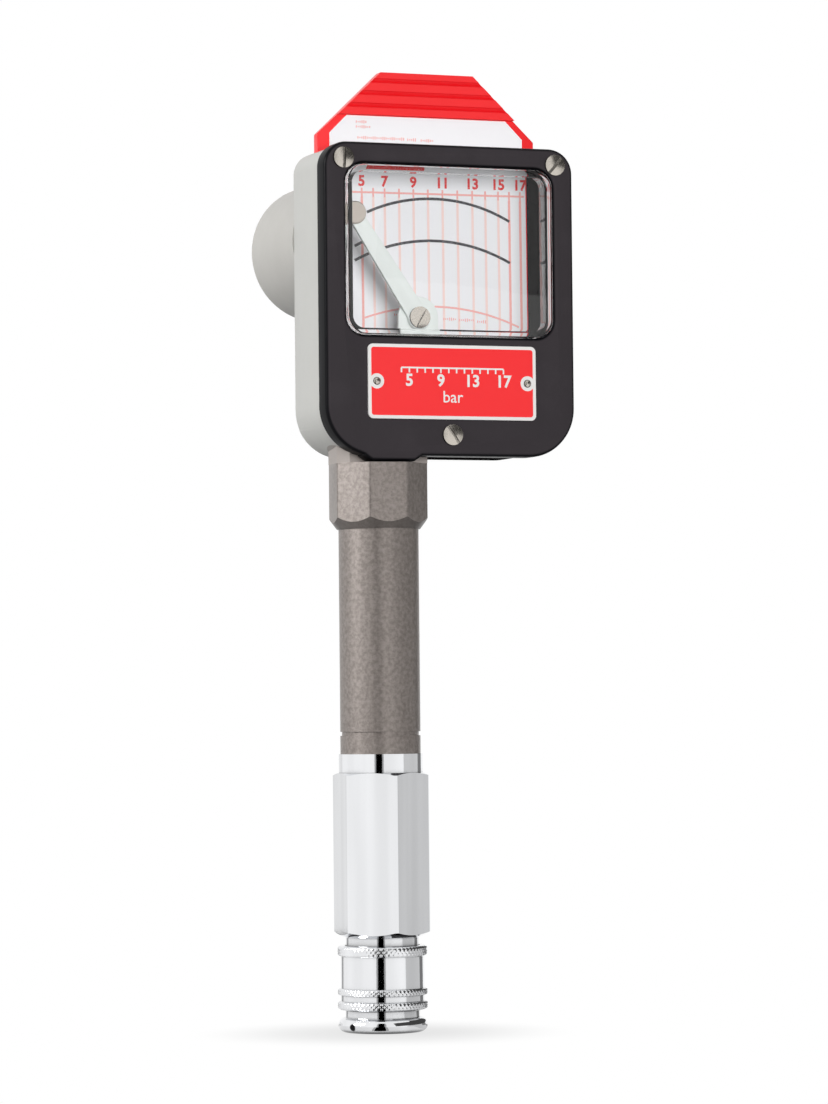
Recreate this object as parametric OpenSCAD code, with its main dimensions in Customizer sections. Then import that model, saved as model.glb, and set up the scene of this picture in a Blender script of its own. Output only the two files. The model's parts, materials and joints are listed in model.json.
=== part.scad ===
// Recording compression tester: a cast head with a card, a pointer and a window,
// carried on a hollow stem that holds the measuring piston, with a quick coupler below.
// The stem's axis is Z. The origin is the centre of the coupler's mouth, -Y is the front.

/* [Head] */
// Width of the front cover
cover_w = 80.5; // [78:0.5:88]
// Height of the front cover
cover_h = 94; // [92:0.5:100]
// Radius of the top corners
corner_top_r = 7.5; // [5:0.5:9]
// Radius of the bottom corners
corner_bottom_r = 15; // [11:0.5:17]
// Depth of the cover's rim
cover_t = 6.4; // [5.6:0.2:7]
// Thickness of the cover's face and rim walls
cover_wall = 2.6; // [2.2:0.1:3]
// How far the cover's rim stands outside the housing
cover_step = 0.6; // [0.3:0.1:1]
// Depth of the head from the cover's face to the housing's back
head_d = 29.5; // [29:0.5:34]
// Wall of the cast housing
housing_wall = 2.5; // [2:0.1:3]
// Sideways offset of the head's middle from the stem
head_offset = 18.8; // [18:0.2:20]
// Depth of the stem's axis behind the cover's face
stem_d = 14; // [13.6:0.1:14.6]
// Radius of the drum behind the head
drum_r = 21.2; // [18:0.2:21.2]
// Wall of the drum
drum_wall = 1.6; // [1:0.1:2.4]
// Length of the drum behind the housing
drum_l = 39.5; // [25:0.5:60]
// Height of the drum's axis above the cover's bottom edge
drum_up = 67; // [60:0.5:68]
// Rounding of the drum's far edge
drum_round = 1.4; // [0.6:0.1:1.6]
// Width of the cover's lug at its root
lug_w = 18.6; // [16:0.2:20]
// How far the lug hangs below the cover
lug_h = 1.6; // [1.2:0.1:2.4]

/* [Window and plate] */
// Width of the window opening
window_w = 66.6; // [60:0.2:67]
// Height of the window opening
window_h = 51.4; // [48:0.2:52]
// Radius of the window's corners
window_r = 5.7; // [4.5:0.1:7]
// Distance from the cover's top edge to the window
window_top = 6.5; // [6.3:0.1:8]
// Thickness of the lens pane and of its side walls
lens_t = 2; // [1.5:0.1:2.4]
// How far the lens stands proud of the cover
lens_proud = 0.6; // [0.2:0.1:1]
// Width of the nameplate
plate_w = 54.2; // [50:0.2:60]
// Height of the nameplate
plate_h = 22.4; // [18:0.2:22.6]
// Thickness of the nameplate
plate_t = 0.6; // [0.4:0.1:1]
// Corner radius of the nameplate
plate_r = 1.6; // [0.8:0.1:3]
// Height of the nameplate's bottom above the cover's bottom
plate_up = 11; // [10.6:0.1:11.2]
// Inset of each nameplate rivet from the plate's end
rivet_inset = 2.75; // [2.4:0.05:4]
// Radius of a rivet's head
rivet_r = 1.2; // [0.9:0.1:1.4]
// Radius of a cover screw's head
screw_head_r = 3.15; // [2.8:0.05:3.3]
// Radius of a cover screw's shank
screw_r = 1.6; // [1.3:0.1:1.8]
// Length of a cover screw's shank
screw_l = 8; // [6:0.5:9]
// Inset of the top screws from the cover's sides
screw_inset = 6; // [5.8:0.1:6.2]
// Drop of the top screws below the cover's top
screw_drop = 5; // [4.8:0.1:5.2]
// Height of the bottom screw above the cover's bottom
screw_up = 6.4; // [6.2:0.1:6.8]

/* [Card and holder] */
// Depth of the card's face behind the cover's face
card_d = 19; // [18.6:0.1:19.4]
// Thickness of the card
card_t = 0.4; // [0.3:0.1:0.6]
// Width of the holder's edge beside the card
card_edge = 4; // [2:0.5:6]
// Height of the card
card_h = 67.8; // [64:0.2:68.4]
// Width of the clipped corners of the card
card_clip = 5.5; // [3:0.5:8]
// Gap between the card holder's edge and the housing's wall
holder_play = 1.65; // [1:0.05:2.2]
// Thickness of the holder's plate
holder_t = 3; // [2.4:0.1:3.2]
// Height of the holder's straight sides
holder_side_h = 62; // [60:0.5:64]
// Height of the tapered head of the holder
holder_head_h = 19.5; // [19:0.5:24]
// Width of the holder's top edge
holder_top_w = 30.2; // [26:0.2:36]
// Extra thickness of the ribbed grip
grip_t = 1.2; // [0.8:0.1:2]
// Radius of the grooves in the grip
grip_groove_r = 0.7; // [0.4:0.05:0.9]
// Distance from one grip groove to the next
grip_pitch = 3.8; // [3:0.1:4]

/* [Movement] */
// Sideways distance of the pointer's pivot from the head's middle
pivot_side = 1.8; // [1.4:0.1:2.2]
// Depth of the pivot below the window's lower edge
pivot_down = 8.2; // [7.8:0.1:8.6]
// Depth of the pointer's face behind the cover's face
pointer_d = 9; // [8.6:0.1:9.2]
// Thickness of the pointer
pointer_t = 1; // [0.8:0.1:1.1]
// Length of the pointer from its pivot to its stylus
pointer_l = 54; // [50:0.2:54.4]
// Lean of the pointer at rest
pointer_lean = 32.5; // [30:0.1:32.8]
// Thickness of the pointer's hub plate
hub_t = 0.8; // [0.6:0.1:1]
// Radius of the hub plate's rounded ends
hub_r = 6.4; // [5.8:0.1:6.6]
// Distance from the pivot to the arm's screw
arm_screw_l = 17.2; // [15:0.2:18]
// Lean of the arm's screw from the pivot
arm_screw_lean = 30.3; // [29:0.1:32]
// Width of the pointer's arm at its screw
arm_w = 6.2; // [5:0.1:7]
// Width of the pointer's arm at the stylus
tip_w = 4.5; // [3.5:0.1:5]
// Radius of the stylus disc
stylus_r = 3.4; // [2.6:0.1:3.5]
// Radius of the head of the pivot's and the arm's screws
pivot_screw_r = 3.2; // [2.6:0.1:3.6]
// Radius of the pointer's shaft
shaft_r = 1.5; // [1.2:0.1:1.6]
// Module of the rack and pinion
gear_m = 0.8; // [0.76:0.01:0.84]
// Number of teeth on the pinion
pinion_teeth = 15; // [14:1:16]
// Width of the pinion and the rack
gear_w = 3; // [2.4:0.1:3]
// Travel of the piston
piston_travel = 6.4; // [4:0.1:6.5]
// Thickness of the bridge plate
bridge_t = 1.5; // [1.2:0.1:1.7]
// Radius of the posts that carry the bridge
post_r = 3.5; // [3:0.1:3.8]

/* [Stem] */
// Radius of the stem's tube
tube_r = 12.1; // [11.6:0.1:12.6]
// Length of the tube below its collar
tube_h = 67.7; // [60:0.1:80]
// Across-flats size of the eight-sided collar
collar_af = 28; // [26.5:0.5:28]
// Height of the eight-sided collar's flats
collar_h = 15.6; // [12:0.2:20]
// Height of the collar's lower chamfer
collar_chamfer = 4.1; // [3:0.1:5]
// Turn of the collar's flats from the front
collar_turn = -7.5; // [-22:0.5:22]
// Radius of the stem's upper thread
thread_r = 7.2; // [7:0.1:7.4]
// Length of the stem's upper thread
thread_h = 10; // [8:0.5:12]
// Radius of the spring chamber
chamber_r = 8; // [7.4:0.1:8.4]
// Radius of the piston's bore
bore_r = 5; // [4.4:0.1:5.6]
// Length of the piston's bore
bore_l = 21; // [18:0.5:26]
// Radius of the piston rod
rod_r = 2.5; // [2:0.1:2.8]
// Outer radius of the guide bush
guide_r = 4.4; // [4:0.1:4.8]
// Thickness of the roof over the spring chamber
roof_h = 4; // [3:0.5:6]
// Wire radius of the measuring spring
spring_wire_r = 1; // [0.7:0.1:1.2]

/* [Coupler] */
// Across-flats size of the hexagon
hex_af = 26; // [25.5:0.5:28]
// Height of the hexagon
hex_h = 49.5; // [44:0.5:60]
// Turn of the hexagon's edges from the right-hand side
hex_turn = 27; // [0:1:59]
// Height of the chamfers on the hexagon's ends
hex_chamfer = 2.2; // [1:0.1:3]
// Radius of the round shoulder over the hexagon
shoulder_r = 12.7; // [12.2:0.1:12.7]
// Height of the round shoulder
shoulder_h = 5.7; // [4:0.1:8]
// Radius of the connector's upper thread
spigot_r = 9; // [8:0.1:9.6]
// Length of the connector's upper thread
spigot_h = 9; // [7:0.5:12]
// Radius of the socket that takes the adapter
socket_r = 6.5; // [6:0.1:6.6]
// Depth of the socket
socket_h = 24; // [22:0.5:25]
// Outer radius of the socket's tube
socket_out_r = 9.8; // [9.6:0.1:10]
// Radius of the neck under the hexagon
neck_r = 11; // [10.8:0.1:11.1]
// Radius of the bead at the mouth
bead_r = 13.4; // [12.6:0.1:14]
// Height of the bead
bead_h = 4.5; // [3.6:0.1:5]
// Height of the step between the bead and the sleeve
step_h = 2; // [1.6:0.1:2.4]
// Radius of that step
step_r = 11.2; // [10.8:0.1:11.6]
// Length of the sliding sleeve
sleeve_h = 19.2; // [18:0.2:20]
// Radius of the sleeve between its knurled rings
sleeve_r = 12.6; // [12.2:0.1:13]
// How far the knurled rings stand out
knurl_out = 0.95; // [0.5:0.05:1.2]
// Travel of the sleeve
sleeve_travel = 2; // [1:0.1:2.1]
// Radius of a locking ball
ball_r = 1.5; // [1.2:0.1:1.55]
// Radius of the valve chamber
valve_r = 4; // [3.6:0.1:4.6]
// Radius of the gas passage
passage_r = 1.6; // [1.2:0.1:1.8]
// Travel of the check valve
valve_travel = 1.5; // [0.8:0.1:2]

/* [Clearances] */
// Gap beside a sliding plate
slide_gap = 0.3; // [0.2:0.05:0.4]
// Gap round a running shaft or piston
run_gap = 0.08; // [0.04:0.02:0.1]
// Gap round a thread or a pressed piece
seat_gap = 0.05; // [0.02:0.01:0.1]
// Gap round the lens
lens_gap = 0.15; // [0.1:0.05:0.25]

/* [Hidden] */
$fn = 64;
over = 1;
lip = 0.5;

// Heights up the stem
sleeve_z = bead_h + step_h + slide_gap;
sleeve_top = sleeve_z + sleeve_h;
hex_z = sleeve_top + sleeve_travel + slide_gap;
shoulder_z = hex_z + hex_h;
stem_z = shoulder_z + shoulder_h;
collar_z = stem_z + tube_h;
flats_z = collar_z + collar_chamfer;
seat_z = flats_z + collar_h;
lug_z = seat_z + slide_gap;
cover_z = lug_z + lug_h;
cover_top = cover_z + cover_h;

// Depths through the head
front_y = -stem_d;
face_y = front_y + cover_wall;
rim_y = front_y + cover_t;
back_y = front_y + head_d;
inner_y = back_y - housing_wall;
card_y = front_y + card_d;
holder_y = card_y + card_t;
holder_back = holder_y + holder_t;
pointer_y = front_y + pointer_d;
pointer_back = pointer_y + pointer_t;
hub_back = pointer_back + hub_t;
gear_y = hub_back + slide_gap;
gear_back = gear_y + gear_w;
bridge_y = gear_back + over;
bridge_back = bridge_y + bridge_t;

// Places on the face
half_w = cover_w / 2;
cavity_w = half_w - cover_step - housing_wall;
holder_w = 2 * (cavity_w - holder_play);
card_w = holder_w - 2 * card_edge;
drum_z = cover_z + drum_up;
drum_seat_h = 4;
drum_seat_wall = 2;
window_z = cover_top - window_top - window_h;
pivot_x = head_offset + pivot_side;
pivot_z = window_z - pivot_down;
arm_screw_x = pivot_x - arm_screw_l * sin(arm_screw_lean);
arm_screw_z = pivot_z + arm_screw_l * cos(arm_screw_lean);
tip_x = pivot_x - pointer_l * sin(pointer_lean);
tip_z = pivot_z + pointer_l * cos(pointer_lean);
plate_z = cover_z + plate_up;
screw_x = half_w - screw_inset;
screw_top_z = cover_top - screw_drop;
screw_low_z = cover_z + screw_up;
screw_places = [
    [head_offset - screw_x, screw_top_z],
    [head_offset + screw_x, screw_top_z],
    [head_offset, screw_low_z]
];
slot_turns = [0, -40, 35];
pivot_slot_turn = 15;
arm_slot_turn = -30;
arm_screw_r = 1.2;
bridge_slot_turn = 20;
slot_w = 0.9;
dome_h = 1.3;

// Holder and its rails
rail_room = 0.4;
rail_t = 1.5;
rail_in = card_w / 2 + rail_room;
holder_z = window_z + slide_gap;
holder_shoulder = holder_z + holder_side_h;
holder_top = holder_shoulder + holder_head_h;
card_z = holder_z + slide_gap;
card_top = card_z + card_h;
grip_z = card_top + slide_gap;
stop_h = 3;
rail_z = holder_z - slide_gap - stop_h;

// Rack and pinion
pitch_r = gear_m * pinion_teeth / 2;
pitch_x = pivot_x - pitch_r;
rack_pitch = PI * gear_m;
addendum = 0.85 * gear_m;
dedendum = 1.2 * gear_m;
tooth_step = 360 / pinion_teeth;
rack_first = -ceil(piston_travel / rack_pitch);
rack_root_x = pitch_x - dedendum;
rack_top = pivot_z + 0.4 * rack_pitch;
clamp_wall = 1.9;
clamp_r = rod_r + clamp_wall;

// Bridge and its posts
bridge_room = 1.4;
bridge_low = screw_low_z + post_r + bridge_room;
bridge_drop = 3;
bridge_high = window_z - bridge_drop;
bridge_left = clamp_r + bridge_room / 2;
bridge_right = head_offset + cavity_w - 2 * post_r;
bush_r = 2.6;
bush_lip_r = 3.4;
post_z = (bridge_low + bridge_high) / 2;
post_edge = 5;
post_gap = 13;
post_places = [[pivot_x + post_gap, post_z], [bridge_right - post_edge, post_z]];
bridge_screw_r = 1.3;
bridge_head_r = 2.6;
bridge_head_h = 1.6;
bridge_screw_l = 5;

// Inside of the stem
pad_h = 13;
collar_r = collar_af / 2 / cos(22.5);
groove_z = stem_z + 5.5;
groove_h = 1.2;
groove_d = 0.5;
gasket_h = 1;
bore_z = stem_z + spigot_h + gasket_h;
chamber_z = bore_z + bore_l;
thread_top = seat_z + thread_h;
guide_z = seat_z - roof_h;
piston_up = 6;
piston_z = bore_z + piston_up;
piston_h = 11;
piston_r = bore_r - run_gap;
seal_minor = 0.8;
seal_z = piston_z + piston_h / 2;
flange_h = 2;
flange_z = chamber_z + over;
flange_play = 0.5;
flange_r = chamber_r - flange_play;
screw_end_r = 1.6;
clamp_h = 10;
clamp_z = thread_top + over;
rod_top = clamp_z + clamp_h;
rack_foot = seat_z + pad_h + over;
spring_z = flange_z + flange_h;
spring_mean_r = (rod_r + chamber_r) / 2;

// Inside of the connector
neck_up = 16;
neck_low = sleeve_z + neck_up;
hex_r = hex_af / 2 / cos(30);
valve_up = 20;
valve_z = hex_z + valve_up;
seat_h = 4;
poppet_z = valve_z + seat_h + seat_gap;
poppet_play = 1.1;
poppet_r = valve_r - poppet_play;
poppet_h = 2.4;
poppet_stem_r = 1;
poppet_l = 8;
valve_room = 4.5;
retainer_z = poppet_z + poppet_h + poppet_l + valve_travel + valve_room;
retainer_h = 4;
guide_l = 6.2;
guide_in = sleeve_z + guide_l;
ball_up = 2.4;
ball_z = sleeve_z + ball_up;
ball_c = (socket_r + socket_out_r) / 2;
ball_count = 6;
seal_drop = 5;
socket_seal_z = socket_h - seal_drop;
ring_minor = 0.95;
sleeve_wire_r = 0.4;
valve_wire_r = 0.35;
sleeve_in_r = neck_r + slide_gap;
sleeve_mean_r = (socket_out_r + sleeve_in_r) / 2;
leaf_t = 0.5;
leaf_w = 8;
leaf_h = 24;

// Shapes shared by several pieces

// An upright outline on the XZ plane, made solid from y0 to y1
module slab(y0, y1) {
    translate([0, y1, 0])
        rotate([90, 0, 0])
            linear_extrude(y1 - y0)
                children();
}

// A round bar along Y
module bar(x, z, r, y0, y1) {
    slab(y0, y1)
        translate([x, z])
            circle(r);
}

// A round post along Z
module post(r, z0, z1) {
    translate([0, 0, z0])
        cylinder(r = r, h = z1 - z0);
}

// A ring of round section
module ring(major, minor, z) {
    translate([0, 0, z])
        rotate_extrude()
            translate([major, 0])
                circle(minor, $fn = 24);
}

// A turned solid given by its half section, as radius and height
module turned(section) {
    rotate_extrude()
        polygon(section);
}

// A rectangle on the XZ plane with its own top and bottom corner radii
module rounded(x, z, w, h, rt, rb) {
    translate([x, z]) {
        translate([-w / 2, rb])
            square([w, h - rb - rt]);
        translate([-w / 2 + rt, h - rt])
            square([w - 2 * rt, rt]);
        translate([-w / 2 + rb, 0])
            square([w - 2 * rb, rb]);
        for (s = [-1, 1]) {
            translate([s * (w / 2 - rt), h - rt])
                circle(rt);
            translate([s * (w / 2 - rb), rb])
                circle(rb);
        }
    }
}

// The head's outline, drawn in by an inset
module head_outline(inset) {
    rounded(head_offset, cover_z + inset, cover_w - 2 * inset, cover_h - 2 * inset,
        corner_top_r - inset, corner_bottom_r - inset);
}

// The window's outline, drawn in by an inset
module window_outline(inset) {
    rounded(head_offset, window_z + inset, window_w - 2 * inset, window_h - 2 * inset,
        window_r - inset, window_r - inset);
}

// An upright block given by its corners
module block(x0, x1, y0, y1, z0, z1) {
    translate([x0, y0, z0])
        cube([x1 - x0, y1 - y0, z1 - z0]);
}

// A slotted, slightly domed screw head whose face looks to the front
module screw_head(r, h, turn) {
    rotate([90, 0, 0])
        difference() {
            intersection() {
                cylinder(r = r, h = h);
                translate([0, 0, h - 3 * r])
                    sphere(3 * r);
            }
            rotate([0, 0, turn])
                translate([-slot_w / 2, -2 * r, h * 0.45])
                    cube([slot_w, 4 * r, h]);
        }
}

// A coil of round wire between two heights
module coil(mean_r, wire_r, z0, z1, turns) {
    sides = 6;
    steps = turns * 14;
    rise = z1 - z0 - 2 * wire_r;
    points = [
        for (i = [0:steps], k = [0:sides - 1])
            let (a = 360 * turns * i / steps, b = 360 * k / sides, r = mean_r + wire_r * cos(b))
                [r * cos(a), r * sin(a), z0 + wire_r + rise * i / steps + wire_r * sin(b)]
    ];
    skin = [
        for (i = [0:steps - 1], k = [0:sides - 1])
            let (n = (k + 1) % sides, p = i * sides)
                [p + k, p + sides + k, p + sides + n, p + n]
    ];
    first = [for (k = [0:sides - 1]) k];
    last = [for (k = [0:sides - 1]) (steps + 1) * sides - 1 - k];
    polyhedron(points, concat(skin, [first, last]));
}

// The eight-sided collar's section
module collar_prism(z0, z1) {
    translate([0, 0, z0])
        rotate([0, 0, 22.5 + collar_turn])
            cylinder(r = collar_r, h = z1 - z0, $fn = 8);
}

// Head

// The round seat on the housing's back that the drum is pressed on
module drum_seat() {
    seat_r = drum_r - drum_wall - seat_gap;
    difference() {
        bar(0, drum_z, seat_r, back_y - over, back_y + drum_seat_h);
        bar(0, drum_z, seat_r - drum_seat_wall, back_y - 2 * over, back_y + drum_seat_h + over);
    }
}

// The rails and stops that the card holder slides in, on one side
module holder_rails(s) {
    wall_x = cavity_w + housing_wall / 2;
    x0 = min(s * rail_in, s * wall_x) + head_offset;
    x1 = max(s * rail_in, s * wall_x) + head_offset;
    rail_top = cover_top - cover_step - housing_wall / 2;
    block(x0, x1, holder_y - slide_gap - rail_t, holder_y - slide_gap, rail_z, rail_top);
    block(x0, x1, holder_back + slide_gap, inner_y + housing_wall / 2, rail_z, rail_top);
    block(x0, x1, holder_y - slide_gap - rail_t, inner_y + housing_wall / 2, rail_z, rail_z + stop_h);
}

module housing() {
    color("silver")
    difference() {
        union() {
            difference() {
                slab(rim_y, back_y)
                    head_outline(cover_step);
                slab(rim_y - over, inner_y)
                    head_outline(cover_step + housing_wall);
            }
            drum_seat();
            intersection() {
                collar_prism(seat_z, seat_z + pad_h);
                block(-collar_af, collar_af, rim_y + seat_gap, back_y, seat_z, seat_z + pad_h);
            }
            intersection() {
                slab(rim_y, back_y)
                    head_outline(cover_step);
                union() {
                    holder_rails(-1);
                    holder_rails(1);
                    for (p = post_places)
                        bar(p[0], p[1], post_r, bridge_back, back_y);
                }
            }
            intersection() {
                slab(face_y, back_y)
                    head_outline(cover_step + lip);
                union() {
                    for (p = screw_places)
                        bar(p[0], p[1], post_r, rim_y, card_y - over);
                }
            }
        }
        block(head_offset - holder_w / 2 - slide_gap, head_offset + holder_w / 2 + slide_gap,
            card_y - slide_gap, holder_back + slide_gap, cover_top - corner_top_r, cover_top + over);
        post(thread_r + seat_gap, seat_z - over, seat_z + pad_h + over);
        for (p = screw_places)
            bar(p[0], p[1], screw_r + seat_gap, rim_y - over, face_y + screw_l + lip);
        for (p = post_places)
            bar(p[0], p[1], bridge_screw_r + seat_gap, bridge_back - over,
                bridge_back + bridge_screw_l + over);
    }
}

// The round can behind the head, closed at its far end
module drum() {
    color("silver")
    translate([0, back_y, drum_z])
        rotate([-90, 0, 0])
            difference() {
                union() {
                    cylinder(r = drum_r, h = drum_l - drum_round);
                    translate([0, 0, drum_l - drum_round])
                        cylinder(r1 = drum_r, r2 = drum_r - drum_round, h = drum_round);
                }
                translate([0, 0, -over])
                    cylinder(r = drum_r - drum_wall, h = drum_l - drum_wall + over);
            }
}

module front_cover() {
    color([0.1, 0.1, 0.11])
    difference() {
        union() {
            difference() {
                slab(front_y, rim_y)
                    head_outline(0);
                slab(face_y, rim_y + over)
                    head_outline(cover_wall);
            }
            slab(front_y, rim_y)
                polygon([
                    [-lug_w / 2, cover_z + cover_wall],
                    [-lug_w / 2, cover_z],
                    [-lug_w / 2 + 1.5 * lug_h, lug_z],
                    [lug_w / 2 - 1.5 * lug_h, lug_z],
                    [lug_w / 2, cover_z],
                    [lug_w / 2, cover_z + cover_wall]
                ]);
            for (p = screw_places)
                bar(p[0], p[1], post_r, front_y + over, rim_y);
        }
        slab(front_y - over, rim_y + over)
            window_outline(0);
        for (p = screw_places)
            bar(p[0], p[1], screw_r + seat_gap, front_y - over, rim_y + over);
        for (s = [-1, 1])
            bar(head_offset + s * (plate_w / 2 - rivet_inset), plate_z + plate_h / 2,
                rivet_r / 2 + seat_gap, front_y - over, face_y + over);
    }
}

module lens() {
    color([0.85, 0.9, 0.95, 0.4])
    difference() {
        slab(front_y - lens_proud, rim_y)
            window_outline(lens_gap);
        slab(front_y - lens_proud + lens_t, rim_y + over)
            window_outline(lens_gap + lens_t);
    }
}

module cover_screws() {
    color("gainsboro")
    for (i = [0:2])
        translate([screw_places[i][0], front_y, screw_places[i][1]]) {
            screw_head(screw_head_r, dome_h, slot_turns[i]);
            rotate([-90, 0, 0])
                cylinder(r = screw_r, h = cover_wall + screw_l);
        }
}

module nameplate() {
    color("crimson")
    difference() {
        slab(front_y - plate_t, front_y)
            rounded(head_offset, plate_z, plate_w, plate_h, plate_r, plate_r);
        for (s = [-1, 1])
            bar(head_offset + s * (plate_w / 2 - rivet_inset), plate_z + plate_h / 2,
                rivet_r / 2 + seat_gap, front_y - plate_t - over, front_y + over);
    }
}

module nameplate_rivets() {
    color("silver")
    for (s = [-1, 1])
        translate([head_offset + s * (plate_w / 2 - rivet_inset), front_y - plate_t, plate_z + plate_h / 2])
            rotate([90, 0, 0]) {
                intersection() {
                    cylinder(r = rivet_r, h = rivet_r);
                    translate([0, 0, -rivet_r * 0.8])
                        sphere(rivet_r * 1.3);
                }
                translate([0, 0, -plate_t - cover_wall])
                    cylinder(r = rivet_r / 2, h = plate_t + cover_wall);
            }
}

// Card and holder

module card_holder() {
    color("red")
    difference() {
        union() {
            slab(holder_y, holder_back) {
                translate([head_offset - holder_w / 2, holder_z])
                    square([holder_w, holder_side_h]);
                holder_head();
            }
            slab(holder_y - grip_t, holder_y)
                intersection() {
                    holder_head();
                    translate([head_offset - holder_w / 2, grip_z])
                        square([holder_w, holder_top - grip_z]);
                }
        }
        for (i = [0:2])
            translate([head_offset - holder_w / 2, holder_y - grip_t, holder_top - 2.6 - i * grip_pitch])
                rotate([0, 90, 0])
                    cylinder(r = grip_groove_r, h = holder_w, $fn = 24);
    }
}

// The tapered head of the holder
module holder_head() {
    polygon([
        [head_offset - holder_w / 2, holder_shoulder],
        [head_offset + holder_w / 2, holder_shoulder],
        [head_offset + holder_top_w / 2, holder_top],
        [head_offset - holder_top_w / 2, holder_top]
    ]);
}

module recording_card() {
    color("white")
    slab(card_y, holder_y)
        polygon([
            [head_offset - card_w / 2, card_z],
            [head_offset + card_w / 2, card_z],
            [head_offset + card_w / 2, card_top - card_clip],
            [head_offset + card_w / 2 - card_clip, card_top],
            [head_offset - card_w / 2 + card_clip, card_top],
            [head_offset - card_w / 2, card_top - card_clip]
        ]);
}

// A bowed leaf that bears on the back of the holder
module holder_spring() {
    crest = inner_y - holder_back - slide_gap - leaf_t;
    steps = 12;
    bow = [for (i = [0:steps]) [-crest * sin(180 * i / steps), leaf_h * i / steps]];
    color("lightsteelblue")
    translate([head_offset + drum_r / 2, inner_y - leaf_t, window_z + window_h / 2])
        rotate([90, 0, 90])
            linear_extrude(leaf_w)
                polygon(concat(
                    [for (p = bow) [p[0] + leaf_t, p[1]]],
                    [for (i = [steps:-1:0]) bow[i]]
                ));
}

// Movement

// The arm from the hub plate to the stylus
module pointer() {
    dx = sin(pointer_lean);
    dz = cos(pointer_lean);
    color("lightgray")
    difference() {
        slab(pointer_y, pointer_back) {
            translate([arm_screw_x, arm_screw_z])
                circle(arm_w / 2 + lip);
            translate([tip_x, tip_z])
                circle(stylus_r);
            polygon([
                [arm_screw_x - dz * arm_w / 2, arm_screw_z - dx * arm_w / 2],
                [arm_screw_x + dz * arm_w / 2, arm_screw_z + dx * arm_w / 2],
                [tip_x + dz * tip_w / 2, tip_z + dx * tip_w / 2],
                [tip_x - dz * tip_w / 2, tip_z - dx * tip_w / 2]
            ]);
        }
        bar(arm_screw_x, arm_screw_z, arm_screw_r + seat_gap, pointer_y - over, pointer_back + over);
        bar(tip_x, tip_z, stylus_r / 3 + seat_gap, pointer_y - over, pointer_back + over);
    }
}

// The boot-shaped plate on the shaft that the arm is screwed to
module pointer_hub() {
    color("lightgray")
    difference() {
        slab(pointer_back, hub_back) {
            translate([arm_screw_x, arm_screw_z])
                circle(hub_r);
            translate([arm_screw_x - hub_r, pivot_z])
                square([2 * hub_r, arm_screw_z - pivot_z]);
            translate([arm_screw_x, pivot_z - hub_r])
                square([pivot_x - arm_screw_x, 2 * hub_r]);
            translate([arm_screw_x, pivot_z])
                circle(hub_r);
            translate([pivot_x, pivot_z])
                circle(hub_r);
        }
        bar(arm_screw_x, arm_screw_z, arm_screw_r + seat_gap, pointer_y, hub_back + over);
        bar(pivot_x, pivot_z, shaft_r + seat_gap, pointer_y, hub_back + over);
    }
}

// The slotted screw that sets the arm on the hub plate
module arm_screw() {
    color("gainsboro")
    translate([arm_screw_x, pointer_y, arm_screw_z]) {
        screw_head(pivot_screw_r, dome_h, arm_slot_turn);
        rotate([-90, 0, 0])
            cylinder(r = arm_screw_r, h = pointer_t + hub_t);
    }
}

// The disc at the pointer's end and the point that scribes the card
module stylus() {
    color("tan")
    translate([tip_x, pointer_y, tip_z])
        rotate([-90, 0, 0])
            rotate_extrude()
                polygon([
                    [0, -1],
                    [stylus_r - 0.3, -1],
                    [stylus_r, -0.7],
                    [stylus_r, 0],
                    [stylus_r / 3, 0],
                    [stylus_r / 3, pointer_t],
                    [stylus_r * 0.6, pointer_t],
                    [stylus_r * 0.6, card_y - pointer_y - 1.6],
                    [0.2, card_y - pointer_y - run_gap],
                    [0, card_y - pointer_y - run_gap]
                ]);
}

module pivot_screw() {
    color("gainsboro")
    translate([pivot_x, pointer_back, pivot_z]) {
        screw_head(pivot_screw_r, dome_h, pivot_slot_turn);
        rotate([-90, 0, 0])
            cylinder(r = shaft_r, h = hub_t);
    }
}

// The shaft with its pinion, a shoulder in front and a journal behind
module pinion_shaft() {
    root_r = pitch_r - dedendum;
    top_r = pitch_r + addendum;
    root_a = tooth_step * 0.24;
    top_a = tooth_step * 0.08;
    tooth = [[root_r, -root_a], [top_r, -top_a], [top_r, top_a], [root_r, root_a]];
    outline = [
        for (i = [0:pinion_teeth - 1], p = tooth)
            let (a = 180 + tooth_step * (i + 0.5) + p[1])
                [pivot_x + p[0] * cos(a), pivot_z + p[0] * sin(a)]
    ];
    color("goldenrod") {
        slab(gear_y, gear_back)
            polygon(outline);
        bar(pivot_x, pivot_z, root_r - lip, hub_back, gear_y);
        bar(pivot_x, pivot_z, shaft_r, gear_back, bridge_back + over);
    }
}

module shaft_bush() {
    color("peru")
    difference() {
        union() {
            bar(pivot_x, pivot_z, bush_lip_r, gear_back + slide_gap, bridge_y);
            bar(pivot_x, pivot_z, bush_r, bridge_y, bridge_back);
        }
        bar(pivot_x, pivot_z, shaft_r + run_gap, gear_y, bridge_back + over);
    }
}

// The plate in front of the card that carries the pointer's shaft
module bridge() {
    color("darkgray")
    difference() {
        slab(bridge_y, bridge_back)
            translate([bridge_left, bridge_low])
                square([bridge_right - bridge_left, bridge_high - bridge_low]);
        bar(pivot_x, pivot_z, bush_r + seat_gap, bridge_y - over, bridge_back + over);
        for (p = post_places)
            bar(p[0], p[1], bridge_screw_r + seat_gap, bridge_y - over, bridge_back + over);
    }
}

module bridge_screws() {
    color("gainsboro")
    for (p = post_places)
        translate([p[0], bridge_y, p[1]]) {
            screw_head(bridge_head_r, bridge_head_h, bridge_slot_turn);
            rotate([-90, 0, 0])
                cylinder(r = bridge_screw_r, h = bridge_t + bridge_screw_l);
        }
}

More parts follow.
